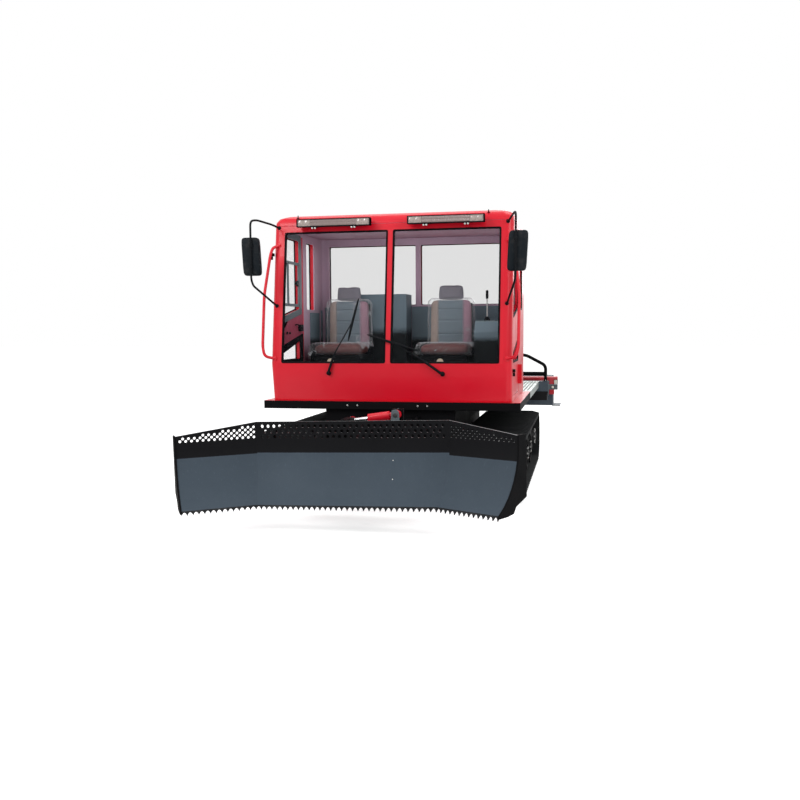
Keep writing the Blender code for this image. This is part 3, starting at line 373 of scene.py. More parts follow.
NODE_FINISH = {
    "chassis_tub": BLACK, "deck_front": RED, "deck_rear": PLATE, "rear_beam": BEAM_PAINT, "cab_shell": RED,
    "cab_roof": RED, "cab_floor": PLASTIC, "windscreen_left": GLASS, "windscreen_right": GLASS,
    "rear_window_left": GLASS, "rear_window_right": GLASS, "dashboard": PLASTIC, "rear_cabinet": CABINET_TRIM,
    "engine_housing": BLACK, "engine_block": CAST, "engine_hood": RED,
    "push_frame": BLACK, "lift_barrel": BLACK, "lift_rod": CHROME, "blade_backbone": BLACK,
    "tilt_barrel": RED, "tilt_rod": CHROME, "tiller_frame": DEEP_RED, "tiller_hood": SLATE,
    "tiller_comb": SEAL, "tiller_rotor": CAST, "tiller_lift_barrel": RED, "tiller_lift_rod": CHROME,
    "track_left": RUBBER, "track_right": RUBBER, "track_frame_left": BLACK, "track_frame_right": BLACK,
    "drive_sprocket_left": CAST, "drive_sprocket_right": CAST, "door_left": RED, "door_right": RED,
    "door_window_left": GLASS, "door_window_right": GLASS, "seat_frame_left": PLASTIC, "seat_frame_right": PLASTIC,
}
TRACK_WHEELS = ((-0.76, 0.225, 0.165), (-0.26, 0.225, 0.165), (0.24, 0.225, 0.165), (0.74, 0.225, 0.165),
                (-1.109, 0.281, 0.221))


# --- whole-array shapes ------------------------------------------------------------------------

def grid_faces(rows: int, columns: int, close_rows: bool = False, close_columns: bool = False) -> Faces:
    """Quads between neighbours of a rows x columns grid of points.

    Args:
        rows: number of rows of points.
        columns: number of points in a row.
        close_rows: joins the last row to the first.
        close_columns: joins each row's last point to its first.

    Returns:
        The quads, as lists of point numbers.
    """
    r = np.arange(rows if close_rows else rows - 1)[:, None]
    c = np.arange(columns if close_columns else columns - 1)[None, :]
    down, over = (r + 1) % rows, (c + 1) % columns
    quads = np.stack([r * columns + c, r * columns + over, down * columns + over, down * columns + c], -1)
    return quads.reshape(-1, 4).tolist()


class Shape:
    """Points and faces gathered from surfaces until they become one object."""

    def __init__(self) -> None:
        """Starts with nothing."""
        self.points: list[Array] = []
        self.faces: Faces = []
        self.count = 0

    def add(self, points: Array, faces: Faces) -> "Shape":
        """Adds a surface whose faces count from its own first point."""
        points = np.asarray(points, float).reshape(-1, 3)
        self.faces.extend([[i + self.count for i in face] for face in faces])
        self.points.append(points)
        self.count += len(points)
        return self

    def rings(self, rings: Array, capped: bool = True, looped: bool = False) -> "Shape":
        """Adds a skin through rings of points, with flat ends or joined end to end."""
        rows, columns = rings.shape[:2]
        faces = grid_faces(rows, columns, looped, True)
        if capped and not looped:
            faces.append(list(range(columns - 1, -1, -1)))
            faces.append([(rows - 1) * columns + i for i in range(columns)])
        return self.add(rings, faces)

    def prism(self, outline: Array, start: Array, end: Array) -> "Shape":
        """Adds an outline of 3-D points moved by two vectors and joined."""
        return self.rings(np.stack([outline + np.asarray(start), outline + np.asarray(end)]))

    def box(self, low: tuple, high: tuple) -> "Shape":
        """Adds a box between two corners."""
        (x0, y0, z0), (x1, y1, z1) = low, high
        outline = np.array([(x0, y0, z0), (x1, y0, z0), (x1, y1, z0), (x0, y1, z0)])
        return self.prism(outline, (0, 0, 0), (0, 0, z1 - z0))

    def tube(self, path: Array, radius, sides: int = 16, looped: bool = False) -> "Shape":
        """Adds a round bar: circles square to the path, of one radius or one for each point."""
        path = np.asarray(path, float)
        ahead = np.roll(path, -1, 0) - np.roll(path, 1, 0) if looped else np.gradient(path, axis=0)
        ahead /= np.linalg.norm(ahead, axis=1, keepdims=True)
        spread = np.abs(ahead).mean(0)
        guide = np.eye(3)[int(np.argmin(spread))]
        side = np.cross(ahead, guide)
        side /= np.linalg.norm(side, axis=1, keepdims=True)
        up = np.cross(side, ahead)
        angle = np.linspace(0, 2 * pi, sides, endpoint=False)[None, :, None]
        reach = np.broadcast_to(np.asarray(radius, float), len(path))[:, None, None]
        return self.rings(path[:, None] + reach * (side[:, None] * np.cos(angle) + up[:, None] * np.sin(angle)),
                          looped=looped)

    def lathe(self, centre: tuple, axis: tuple, profile: list[tuple[float, float]], sides: int = 24) -> "Shape":
        """Adds a turned form: (distance along the axis, radius) rows turned round the axis."""
        axis = np.asarray(axis, float) / np.linalg.norm(axis)
        side = np.cross(axis, np.eye(3)[int(np.argmin(np.abs(axis)))])
        side /= np.linalg.norm(side)
        up = np.cross(axis, side)
        rows = np.asarray(profile, float)
        angle = np.linspace(0, 2 * pi, sides, endpoint=False)
        circle = side[None] * np.cos(angle)[:, None] + up[None] * np.sin(angle)[:, None]
        rings = np.asarray(centre, float) + axis * rows[:, 0, None, None] + circle[None] * rows[:, 1, None, None]
        return self.rings(rings)

    def band(self, outer: Array, inner: Array, depth: Array) -> "Shape":
        """Adds a flat ring between two loops of equal count, as thick as the depth vector."""
        depth = np.asarray(depth, float)
        loops = np.stack([outer, inner, inner + depth, outer + depth])
        return self.add(loops, grid_faces(4, len(outer), True, True))

    def object(self, name: str, finish: Finish, body: Body, bevel: float = 0.0, angle: float = 35.0,
               replaces: tuple[str, ...] = ()):
        """Makes the object, puts its normals outwards, dresses it and lets it ride."""
        points = np.concatenate(self.points)
        data = bpy.data.meshes.new(name)
        data.from_pydata(points.tolist(), [], self.faces)
        work = bmesh.new()
        work.from_mesh(data)
        bmesh.ops.recalc_face_normals(work, faces=work.faces)
        work.to_mesh(data)
        work.free()
        obj = bpy.data.objects.new(name, data)
        bpy.context.scene.collection.objects.link(obj)
        return settle(obj, finish, body, bevel, angle, replaces)


def settle(obj, finish: Finish, body: Body, bevel: float, angle: float, replaces: tuple[str, ...]):
    """Gives an object its finish, edges, body and the CAD nodes it stands for."""
    obj.data.materials.clear()
    obj.data.materials.append(finish.material())
    obj.data.shade_smooth()
    obj.data.set_sharp_from_angle(angle=radians(angle))
    if bevel:
        step = obj.modifiers.new("edges", "BEVEL")
        step.width = bevel
        step.segments = 2
        step.limit_method = "ANGLE"
        step.angle_limit = radians(angle)
        step.harden_normals = False
    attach(obj, body.value)
    if replaces:
        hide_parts(*replaces)
    log.info("piece %s: %d faces, rides on %s", obj.name, len(obj.data.polygons), body.value)
    return obj


def bent(corners: list[tuple], radius: float, steps: int = 8) -> Array:
    """A path through corners, each inner corner rounded by a quadratic blend of its cut points."""
    corners = np.asarray(corners, float)
    share = np.linspace(0, 1, steps + 1)[:, None]
    runs = [corners[:1]]
    for before, corner, after in zip(corners, corners[1:], corners[2:]):
        into, out = before - corner, after - corner
        into_len, out_len = np.linalg.norm(into), np.linalg.norm(out)
        cut = min(radius, 0.45 * into_len, 0.45 * out_len)
        first, last = corner + into / into_len * cut, corner + out / out_len * cut
        runs.append((1 - share) ** 2 * first + 2 * share * (1 - share) * corner + share ** 2 * last)
    runs.append(corners[-1:])
    return np.concatenate(runs)


def offset_outline(outline: list[tuple[float, float]], amount: float) -> Array:
    """A 2-D outline grown by an amount: each edge moves out, corners are where edges meet."""
    points = np.asarray(outline, float)
    edge = np.roll(points, -1, 0) - points
    edge /= np.linalg.norm(edge, axis=1, keepdims=True)
    turned = np.stack([edge[:, 1], -edge[:, 0]], 1)
    area = np.sum(points[:, 0] * np.roll(points[:, 1], -1) - np.roll(points[:, 0], -1) * points[:, 1])
    normal = turned if area > 0 else -turned
    before = np.roll(normal, 1, 0)
    mitre = before + normal
    return points + mitre * (2 * amount / np.sum(mitre ** 2, 1, keepdims=True))


def round_outline(outline: Array, radius: float, steps: int = 5) -> Array:
    """A 2-D outline with each corner blended over a radius."""
    points = np.asarray(outline, float)
    before, after = np.roll(points, 1, 0), np.roll(points, -1, 0)
    share = np.linspace(0, 1, steps + 1)[None, :, None]

    def toward(target: Array) -> Array:
        """The points moved a radius towards their neighbours."""
        way = target - points
        return points + way / np.linalg.norm(way, axis=1, keepdims=True) * radius

    first, last = toward(before)[:, None], toward(after)[:, None]
    curve = (1 - share) ** 2 * first + 2 * share * (1 - share) * points[:, None] + share ** 2 * last
    return curve.reshape(-1, 2)


def cut(obj, cutter: Shape) -> None:
    """Takes a closed cutter away from an object's mesh for good."""
    data = bpy.data.meshes.new("cutter")
    data.from_pydata(np.concatenate(cutter.points).tolist(), [], cutter.faces)
    work = bmesh.new()
    work.from_mesh(data)
    bmesh.ops.recalc_face_normals(work, faces=work.faces)
    work.to_mesh(data)
    work.free()
    helper = bpy.data.objects.new("cutter", data)
    bpy.context.scene.collection.objects.link(helper)
    step = obj.modifiers.new("cut", "BOOLEAN")
    step.operation = "DIFFERENCE"
    step.object = helper
    bpy.context.view_layer.update()
    graph = bpy.context.evaluated_depsgraph_get()
    result = bpy.data.meshes.new_from_object(obj.evaluated_get(graph))
    obj.modifiers.remove(step)
    obj.data = result
    bpy.data.objects.remove(helper, do_unlink=True)

# --- parts ---------------------------------------------------------------------------------------

@dataclass
class CarriedNodes:
    """CAD nodes whose shape is right: a merged copy with rounded edges stands for most; glass nodes keep their own mesh
    and take only a finish, and the sharp ones keep unrounded edges.
    """
    edge: float = 0.003
    glass: tuple[str, ...] = ("windscreen", "rear_window", "door_window")
    sharp: tuple[str, ...] = ("track_left", "track_right", "tiller_rotor")
    pierced: tuple[str, ...] = ("door_", "cab_shell")
    inner_x: float = 1.032
    wheel_outer: float = 1.13

    def second(self, name: str, data) -> tuple[Finish, Array] | None:
        """A second finish for some faces of a node, where it has one.

        Args:
            name: the node's name.
            data: its merged mesh.

        Returns:
            The finish and a mask over the faces, or None.
        """
        count = len(data.polygons)
        centre, normal = np.empty(count * 3), np.empty(count * 3)
        data.polygons.foreach_get("center", centre)
        data.polygons.foreach_get("normal", normal)
        (x, y, z), facing = centre.reshape(-1, 3).T, normal.reshape(-1, 3).T
        if name == "deck_front":
            return BLACK, facing[2] < 0.5
        if name == "cab_shell":
            inward = (x * facing[0] < -0.5 * np.abs(x)) | ((y > 0) & (facing[1] < -0.5)) | ((y < 0) & (facing[1] > 0.5))
            return CAB_INNER, inward & (np.abs(x) < self.inner_x)
        if name == "cab_roof":
            return CAB_INNER, facing[2] < -0.9
        if name.startswith("door_"):
            return DOOR_INNER, (np.abs(x) < self.inner_x) & (facing[0] * x < 0)
        if name.startswith("track_frame"):
            tyre = np.zeros(count, bool)
            for wheel_y, wheel_z, radius in TRACK_WHEELS:
                away = np.hypot(y - wheel_y, z - wheel_z)
                tyre |= (away > 0.84 * radius) & (away < 1.02 * radius) & (np.abs(x) > 0.83)
            return RUBBER, tyre
        return None

    def build(self) -> None:
        """Copies, merges, bevels and dresses the carried nodes; glass nodes are only dressed, and the sharp ones are
        not bevelled.
        """
        bodies = {n: b for b, names in frame["record"]["behaviour"]["bodies"].items() for n in names}
        for name, finish in NODE_FINISH.items():
            source = frame["nodes"][name]
            if name.startswith(self.glass):
                source.data.materials.clear()
                source.data.materials.append(finish.material())
                log.info("node %s: %s", name, finish.name)
                continue
            data = source.data.copy()
            data.name = name + "_skin"
            work = bmesh.new()
            work.from_mesh(data)
            bmesh.ops.remove_doubles(work, verts=work.verts, dist=0.00005)
            if not name.startswith(self.pierced):
                bmesh.ops.dissolve_limit(work, angle_limit=radians(0.5), verts=work.verts, edges=work.edges)
            work.to_mesh(data)
            work.free()
            if data.attributes.get("custom_normal"):
                data.attributes.remove(data.attributes["custom_normal"])
            obj = bpy.data.objects.new(name + "_skin", data)
            bpy.context.scene.collection.objects.link(obj)
            data.materials.clear()
            data.materials.append(finish.material())
            extra = self.second(name, data)
            if extra:
                data.materials.append(extra[0].material())
                data.polygons.foreach_set("material_index", extra[1].astype(np.int32))
            data.shade_smooth()
            data.set_sharp_from_angle(angle=radians(30))
            if not name.startswith(self.sharp):
                step = obj.modifiers.new("edges", "BEVEL")
                step.width = self.edge
                step.segments = 2
                step.limit_method = "ANGLE"
                step.angle_limit = radians(40)
            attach(obj, bodies[name])
            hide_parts(name)
            log.info("skin of %s: %s", name, finish.name)


@dataclass
class CabFront:
    """Windscreen seals, wipers, lamp bars, mirrors, grab rails and the small fittings of the cab's front."""
    deck_top: float = 0.838
    belt: float = 1.17
    foot_y: float = -1.070
    belt_y: float = -1.125
    top_y: float = -0.956
    top: float = 2.40
    wall: float = 0.05
    screen_low: float = 1.18
    screen_high: float = 2.336
    screen_inner: float = 0.028
    screen_outer: float = 0.966
    seal: float = 0.010
    mirror_x: float = 1.140
    mirror_y: float = -1.36
    mirror_z: tuple[float, float] = (1.938, 2.262)
    bar_y: float = -1.010
    bar_z: float = 2.412

    def wall_y(self, z):
        """The front wall's y at a height: leaning out to the belt, then raked back."""
        low = self.foot_y + (self.belt_y - self.foot_y) * (z - self.deck_top) / (self.belt - self.deck_top)
        high = self.belt_y + (self.top_y - self.belt_y) * (z - self.belt) / (self.top - self.belt)
        return np.where(np.asarray(z) < self.belt, low, high)

    def on_wall(self, flat: Array, proud: float) -> Array:
        """Lifts (x, z) points onto the front wall, standing proud by an amount."""
        flat = np.asarray(flat, float)
        return np.stack([flat[:, 0], self.wall_y(flat[:, 1]) - proud, flat[:, 1]], 1)

    def seals(self) -> None:
        """A black rubber frame round each windscreen pane, with a lip inside and outside."""
        for side, name in ((1, "left"), (-1, "right")):
            x0, x1 = sorted((side * self.screen_inner, side * self.screen_outer))
            opening = [(x0, self.screen_low), (x1, self.screen_low), (x1, self.screen_high), (x0, self.screen_high)]
            outer = round_outline(offset_outline(opening, 0.006), 0.018)
            inner = round_outline(offset_outline(opening, -self.seal), 0.012)
            shape = Shape().band(self.on_wall(outer, 0.004), self.on_wall(inner, 0.002), (0, 0.022, 0))
            shape.object(f"windscreen_seal_{name}", SEAL, Body.MACHINE, 0.0015)

    def wiper(self, name: str, pivot: tuple, elbow: tuple, joint: tuple, ends: tuple[tuple, tuple]) -> None:
        """One wiper, given in (x, z) on the wall: boss, sprung arm, and a bowed holder over its rubber."""
        at = lambda flat, proud: self.on_wall(np.array([flat]), proud)[0]
        shape = Shape()
        shape.lathe(at(pivot, -0.004), (0, -1, 0.1), [(0, 0.022), (0.018, 0.020), (0.030, 0.014), (0.036, 0.007)])
        route = bent(np.array([at(pivot, 0.026), at(elbow, 0.032), at(joint, 0.022)]), 0.06)
        girth = np.interp(np.linspace(0, 1, len(route)), (0.0, 0.25, 0.45, 1.0), (0.0115, 0.0105, 0.0065, 0.0055))
        shape.tube(route, girth, 10)
        share = np.linspace(0, 1, 25)[:, None]
        first, last = at(ends[0], 0.012), at(ends[1], 0.012)
        bow = 0.010 * np.sin(pi * share) * np.array((0, -1, 0))
        spine = first * (1 - share) + last * share + bow
        shape.tube(spine, 0.0045 + 0.0065 * np.sin(pi * share[:, 0]) ** 0.5, 10)
        shape.tube(first * (1 - share) + last * share + (0, 0.008, 0), 0.0042, 8)
        shape.tube(np.array([at(joint, 0.030), at(joint, 0.012)]), 0.010, 10)
        shape.object(f"wiper_{name}", PLASTIC, Body.MACHINE)

    def lamp_bar(self, side: int, name: str) -> None:
        """A work-light bar: framed body, ribbed lens between two clear ends, bolted feet."""
        y, z = self.bar_y, self.bar_z
        x0, x1 = sorted((side * 0.165, side * 0.835))
        body = Shape().box((x0, y - 0.034, z - 0.034), (x1, y + 0.018, z + 0.034))
        for rise in (-0.031, 0.031):
            body.box((x0, y - 0.045, z + rise - 0.003), (x1, y - 0.030, z + rise + 0.003))
        for end in (x0 + 0.004, x1 - 0.004):
            body.box((end - 0.004, y - 0.045, z - 0.034), (end + 0.004, y + 0.020, z + 0.034))
        for x in np.linspace(x0 + 0.02, x1 - 0.02, 32):
            body.box((x - 0.002, y + 0.016, z - 0.030), (x + 0.002, y + 0.028, z + 0.030))
        for x in (side * 0.32, side * 0.68):
            body.box((x - 0.020, y - 0.030, z - 0.044), (x + 0.020, y + 0.012, z - 0.034))
            body.box((x - 0.015, y, 2.404), (x + 0.015, -0.957, 2.424))
        body.object(f"light_bar_body_{name}", PLASTIC, Body.MACHINE, 0.001, replaces=(f"light_bar_{name}",))
        inner0, inner1 = x0 + 0.125, x1 - 0.125
        # ribbed middle: each rib is the positive half of a sine wave along the bar
        along = np.linspace(inner0, inner1, 241)
        rib = 0.003 * np.abs(np.sin(pi * np.arange(241) / 8))
        # (height of the row, share of the rib's depth)
        rows = [np.stack([along, y - 0.037 - rib * deep, np.full(241, z + up)], 1)
                for up, deep in ((-0.0275, 0.0), (-0.025, 1.0), (-0.002, 1.0), (0.0, 0.2), (0.002, 1.0), (0.025, 1.0),
                                 (0.0275, 0.0))]
        back = [np.stack([along, np.full(241, y - 0.034), np.full(241, z + up)], 1) for up in (0.0275, -0.0275)]
        Shape().rings(np.stack(rows + back).transpose(1, 0, 2)).object(f"light_bar_lens_{name}", BAR_LENS, Body.MACHINE)
        spots, bolts = Shape(), Shape()
        dome = [(0.0, 0.024), (0.003, 0.023), (0.005, 0.018), (0.006, 0.008), (0.006, 0.0008)]
        for low, high in ((x0 + 0.010, inner0 - 0.002), (inner1 + 0.002, x1 - 0.010)):
            spots.box((low, y - 0.037, z - 0.0275), (high, y - 0.034, z + 0.0275))
            for x in np.linspace(low, high, 5)[1::2]:
                spots.lathe((x, y - 0.0365, z), (0, -1, 0), dome, 20)
        spots.object(f"light_bar_spots_{name}", SPOT_LENS, Body.MACHINE)
        head = [(0, 0.009), (0.005, 0.009), (0.006, 0.006), (0.011, 0.006)]
        for x in (side * 0.32, side * 0.68):
            for step in (-0.013, 0.013):
                bolts.lathe((x + step, y - 0.026, z - 0.045), (0, -1, 0), head, 6)
        bolts.object(f"light_bar_bolts_{name}", ZINC, Body.MACHINE)

    def mirror(self, side: int, name: str) -> None:
        """A mirror housing clamped behind one bent tube, with its glass looking back.

        The housing's level sections are superellipses that shrink towards its ends and follow a
        slight inward lean.
        """
        low, high = self.mirror_z
        height = low + (high - low) * np.array([0.0, 0.02, 0.07, 0.2, 0.5, 0.8, 0.93, 0.98, 1.0])
        swell = np.array([0.72, 0.88, 0.97, 1.0, 1.0, 1.0, 0.97, 0.88, 0.72])
        angle = np.linspace(0, 2 * pi, 36, endpoint=False)
        power = 0.5
        ring_x = np.sign(np.cos(angle)) * np.abs(np.cos(angle)) ** power * 0.079
        ring_y = np.sign(np.sin(angle)) * np.abs(np.sin(angle)) ** power * 0.042
        lean = side * (height - 2.10) * 0.055
        centre_x = side * self.mirror_x + lean
        rings = np.stack([centre_x[:, None] + swell[:, None] * ring_x, self.mirror_y + swell[:, None] * ring_y,
                          np.broadcast_to(height[:, None], (len(height), len(angle)))], -1)
        Shape().rings(rings).object(f"mirror_housing_{name}", MIRROR_SHELL, Body.MACHINE)
        edge = round_outline(np.array([(-0.066, low + 0.022), (0.066, low + 0.022), (0.066, high - 0.022),
                                       (-0.066, high - 0.022)]), 0.022)
        flat = np.stack([side * self.mirror_x + edge[:, 0] + side * (edge[:, 1] - 2.10) * 0.055,
                         np.full(len(edge), self.mirror_y + 0.0405), edge[:, 1]], 1)
        Shape().prism(flat, (0, 0, 0), (0, 0.003, 0)).object(f"mirror_glass_{name}", MIRROR, Body.MACHINE)
        ahead = self.mirror_y - 0.053
        stem = side * (self.mirror_x - 0.012)
        top, foot = float(self.wall_y(2.385)), float(self.wall_y(1.685))
        route = bent([(side * 1.030, top, 2.385), (side * 1.060, -1.06, 2.405), (side * 1.110, self.mirror_y + 0.05, 2.418),
                      (stem, ahead, 2.400), (stem, ahead, 1.900), (side * 1.118, ahead + 0.02, 1.850),
                      (side * 1.030, foot, 1.685)], 0.05)
        arms = Shape().tube(route, 0.009)
        for z, y in ((2.385, top), (1.685, foot)):
            arms.lathe((side * 1.028, y + 0.003, z), (0, -1, 0), [(0, 0.017), (0.006, 0.017), (0.010, 0.011)])
        for z in (low + 0.07, high - 0.07):
            arms.lathe((stem, ahead, z - 0.014), (0, 0, 1), [(0, 0.012), (0.002, 0.0145), (0.026, 0.0145), (0.028, 0.012)])
            arms.box((stem - 0.009, ahead, z - 0.010), (stem + 0.009, self.mirror_y - 0.035, z + 0.010))
        arms.object(f"mirror_arm_{name}", PLASTIC, Body.MACHINE, replaces=(f"mirror_{name}",))

    def grab_rail(self, side: int, name: str) -> None:
        """A painted handrail beside the front corner, leaning in towards its top."""
        # (x, distance ahead of the wall, z)
        route = ((1.035, -0.004, 1.215), (1.115, 0.045, 1.235), (1.135, 0.045, 1.320), (1.135, 0.045, 1.780),
                 (1.090, 0.042, 2.140), (1.072, 0.036, 2.205), (1.030, -0.004, 2.225))
        path = bent([(side * x, float(self.wall_y(z)) - ahead, z) for x, ahead, z in route], 0.06)
        shape = Shape().tube(path, 0.013, 18)
        for x, _, z in (route[0], route[-1]):
            flange = [(0, 0.024), (0.005, 0.023), (0.008, 0.015)]
            shape.lathe((side * x, float(self.wall_y(z)) + 0.003, z), (side * 0.3, -1, 0), flange)
        shape.object(f"grab_rail_tube_{name}", RED, Body.MACHINE, replaces=(f"grab_rail_{name}",))

    def fittings(self) -> None:
        """Skirt bolts, wiper motor caps inside the glass and roof studs."""
        bolts = Shape()
        for x in (-0.371, -0.281, 0.261, 0.344):
            bolts.lathe((x, -1.0995, 0.802), (0, -1, 0), [(0, 0.0085), (0.005, 0.0085), (0.007, 0.006)], 6)
        bolts.object("skirt_bolts", ZINC, Body.MACHINE)
        caps = Shape()
        for x in (-0.532, 0.453):
            z = 1.186
            y = float(self.wall_y(z)) + self.wall + 0.0005
            caps.lathe((x, y, z), (0, 1, 0), [(0, 0.029), (0.010, 0.029), (0.014, 0.025), (0.016, 0.012)], 28)
        caps.object("wiper_motor_caps", CREAM, Body.MACHINE)
        studs = Shape()
        for x in (-0.858, 0.858):
            studs.lathe((x, -0.93, 2.468), (0, 0, 1), [(0, 0.012), (0.004, 0.012), (0.006, 0.005), (0.026, 0.004)], 12)
        studs.object("roof_studs", PLASTIC, Body.MACHINE)

    def build(self) -> None:
        """Builds everything on the cab's front."""
        self.seals()
        self.wiper("right", (-0.535, 1.086), (-0.478, 1.250), (-0.318, 1.540), ((-0.356, 1.372), (-0.270, 1.742)))
        self.wiper("left", (0.482, 1.083), (0.300, 1.212), (0.050, 1.350), ((-0.184, 1.424), (0.275, 1.282)))
        for side, name in ((1, "left"), (-1, "right")):
            self.lamp_bar(side, name)
            self.mirror(side, name)
            self.grab_rail(side, name)
        self.fittings()


@dataclass
class SideGlazing:
    """Seals of the door, quarter and rear windows, and the panes that the frame leaves open."""
    wall: float = 1.075
    inner: float = 1.025
    quarter: tuple = ((-0.20, 1.66), (0.07, 1.66), (0.07, 2.332), (-0.20, 2.332))
    door: tuple = ((-0.935, 1.575), (-0.405, 1.665), (-0.405, 2.325), (-0.830, 2.325))
    door_low: tuple = ((-0.945, 1.185), (-0.405, 1.185), (-0.405, 1.375), (-0.945, 1.255))
    low_frame: tuple = ((-0.955, 1.155), (-0.318, 1.155), (-0.318, 1.437), (-0.955, 1.318))
    rear_x: tuple = (0.025, 0.95)
    rear_z: tuple = (1.714, 2.330)
    rear_wall: float = 0.40

    def frame(self, outer: Array, inner: Array, side: int, x: float, depth: float) -> Shape:
        """A band between two (y, z) outlines on a plane of constant x."""
        place = lambda flat: np.stack([np.full(len(flat), side * x), flat[:, 0], flat[:, 1]], 1)
        return Shape().band(place(outer), place(inner), (side * depth, 0, 0))

    def window(self, name: str, outline: tuple, side: int, body: Body, pane: bool, lining: Array | None,
               lining_finish: Finish) -> None:
        """A rubber frame outside, a lining frame inside and, where asked, the pane.

        Args:
            name: start of the pieces' names.
            outline: the opening in (y, z).
            side: 1 for the left wall, -1 for the right.
            body: what the pieces ride on.
            pane: whether the pane is made here.
            lining: outer outline of the inner frame, or None for a narrow one.
            lining_finish: finish of the inner frame.
        """
        outer = round_outline(offset_outline(outline, 0.012), 0.030)
        inside = round_outline(offset_outline(outline, -0.008), 0.020)
        self.frame(outer, inside, side, self.wall + 0.003, -0.011).object(f"{name}_seal", SEAL, body, 0.0012)
        wide = round_outline(offset_outline(outline, 0.010) if lining is None else lining, 0.025)
        self.frame(wide, inside, side, self.inner - 0.002, 0.010).object(f"{name}_inner_frame", lining_finish, body, 0.0012)
        if pane:
            glass = round_outline(offset_outline(outline, -0.0005), 0.012)
            flat = np.stack([np.full(len(glass), side * 1.050), glass[:, 0], glass[:, 1]], 1)
            Shape().prism(flat, (0, 0, 0), (side * 0.005, 0, 0)).object(f"{name}_pane", GLASS, body)

    def build(self) -> None:
        """Builds the side and rear glazing."""
        for side, name, body in ((1, "left", Body.DOOR_LEFT), (-1, "right", Body.DOOR_RIGHT)):
            upper_lining = offset_outline(self.door, 0.050)
            self.window(f"door_{name}_upper", self.door, side, body, False, upper_lining, FRAME_TRIM)
            self.window(f"door_{name}_lower", self.door_low, side, body, True, np.array(self.low_frame), SEAL)
            self.window(f"quarter_{name}", self.quarter, side, Body.MACHINE, True, None, CAB_INNER)
            x0, x1 = sorted(side * x for x in self.rear_x)
            flat = [(x0, self.rear_z[0]), (x1, self.rear_z[0]), (x1, self.rear_z[1]), (x0, self.rear_z[1])]
            outer = round_outline(offset_outline(flat, 0.012), 0.025)
            # (y, depth, how far in the lip reaches, finish)
            for place, y, depth, reach, finish in (("seal", self.rear_wall + 0.004, -0.012, -0.008, SEAL),
                                                   ("inner_trim", self.rear_wall - 0.052, 0.008, -0.002, CAB_INNER)):
                lip = round_outline(offset_outline(flat, reach), 0.015)
                lay = lambda f: np.stack([f[:, 0], np.full(len(f), y), f[:, 1]], 1)
                Shape().band(lay(outer), lay(lip), (0, depth, 0)).object(f"rear_window_{place}_{name}", finish,
                                                                        Body.MACHINE, 0.001)


@dataclass
class Lining:
    """Trim on the cab's inner walls, the bars inside the door windows and the small door fittings."""
    wall_in: float = 1.024
    rear_in: float = 0.349
    sill: float = 1.70
    floor: float = 0.872
    side_top: float = 1.640

    def door_bars(self, side: int, name: str, body: Body) -> None:
        """Bars of the sliding pane in the door's upper window, with its latch."""
        x0, x1 = sorted((side * 1.028, side * 1.044))
        bars = Shape()
        for z in (2.098, 1.703):
            front = -0.935 + (z - 1.575) * 0.14
            bars.box((x0, front, z - 0.013), (x1, -0.400, z + 0.013))
        bars.box((x0, -0.733, 1.70), (x1, -0.708, 2.10))
        bars.box((x0, -0.418, 1.70), (x1, -0.402, 2.10))
        bars.object(f"door_window_bars_{name}", FRAME_TRIM, body, 0.002)
        latch = Shape().box((x0, -0.460, 1.885), (x1, -0.420, 1.940))
        latch.box((x0, -0.480, 1.903), (x1, -0.455, 1.922))
        latch.object(f"door_window_latch_{name}", PLASTIC, body, 0.003)

    def door_fittings(self, side: int, name: str, body: Body) -> None:
        """Inner release lever, pull and lock case under the door's window."""
        face = side * 1.028
        inward = -side
        fittings = Shape()
        fittings.box(*map(tuple, np.sort([(face, -0.46, 1.455), (face + inward * 0.022, -0.36, 1.520)], axis=0)))
        fittings.tube(bent([(face, -0.56, 1.515), (face + inward * 0.030, -0.56, 1.520),
                            (face + inward * 0.030, -0.48, 1.500), (face, -0.46, 1.490)], 0.012), 0.006, 10)
        for y in (-0.80, -0.72):
            fittings.lathe((face, y, 1.44), (inward, 0, 0), [(0, 0.013), (0.008, 0.013), (0.012, 0.008)], 16)
        fittings.object(f"door_inner_lever_{name}", PLASTIC, body, 0.0015)

    def build(self) -> None:
        """Builds the rear lining, the side linings and what the doors carry inside."""
        rear = Shape().box((-self.wall_in + 0.03, self.rear_in - 0.012, self.floor),
                           (-0.622, self.rear_in, self.sill))
        rear.box((-0.066, self.rear_in - 0.012, self.floor), (self.wall_in - 0.03, self.rear_in, self.sill))
        rear.object("rear_wall_lining", TRIM, Body.MACHINE, 0.004)
        for side, name, body in ((1, "left", Body.DOOR_LEFT), (-1, "right", Body.DOOR_RIGHT)):
            x0, x1 = sorted((side * (self.wall_in - 0.012), side * self.wall_in))
            lining = Shape().box((x0, -0.10, self.floor), (x1, 0.195, self.side_top))
            lining.box((x0, 0.275, self.floor), (x1, 0.31, self.side_top + 0.03))
            lining.object(f"side_lining_{name}", TRIM, Body.MACHINE, 0.004)
            self.door_bars(side, name, body)
            self.door_fittings(side, name, body)


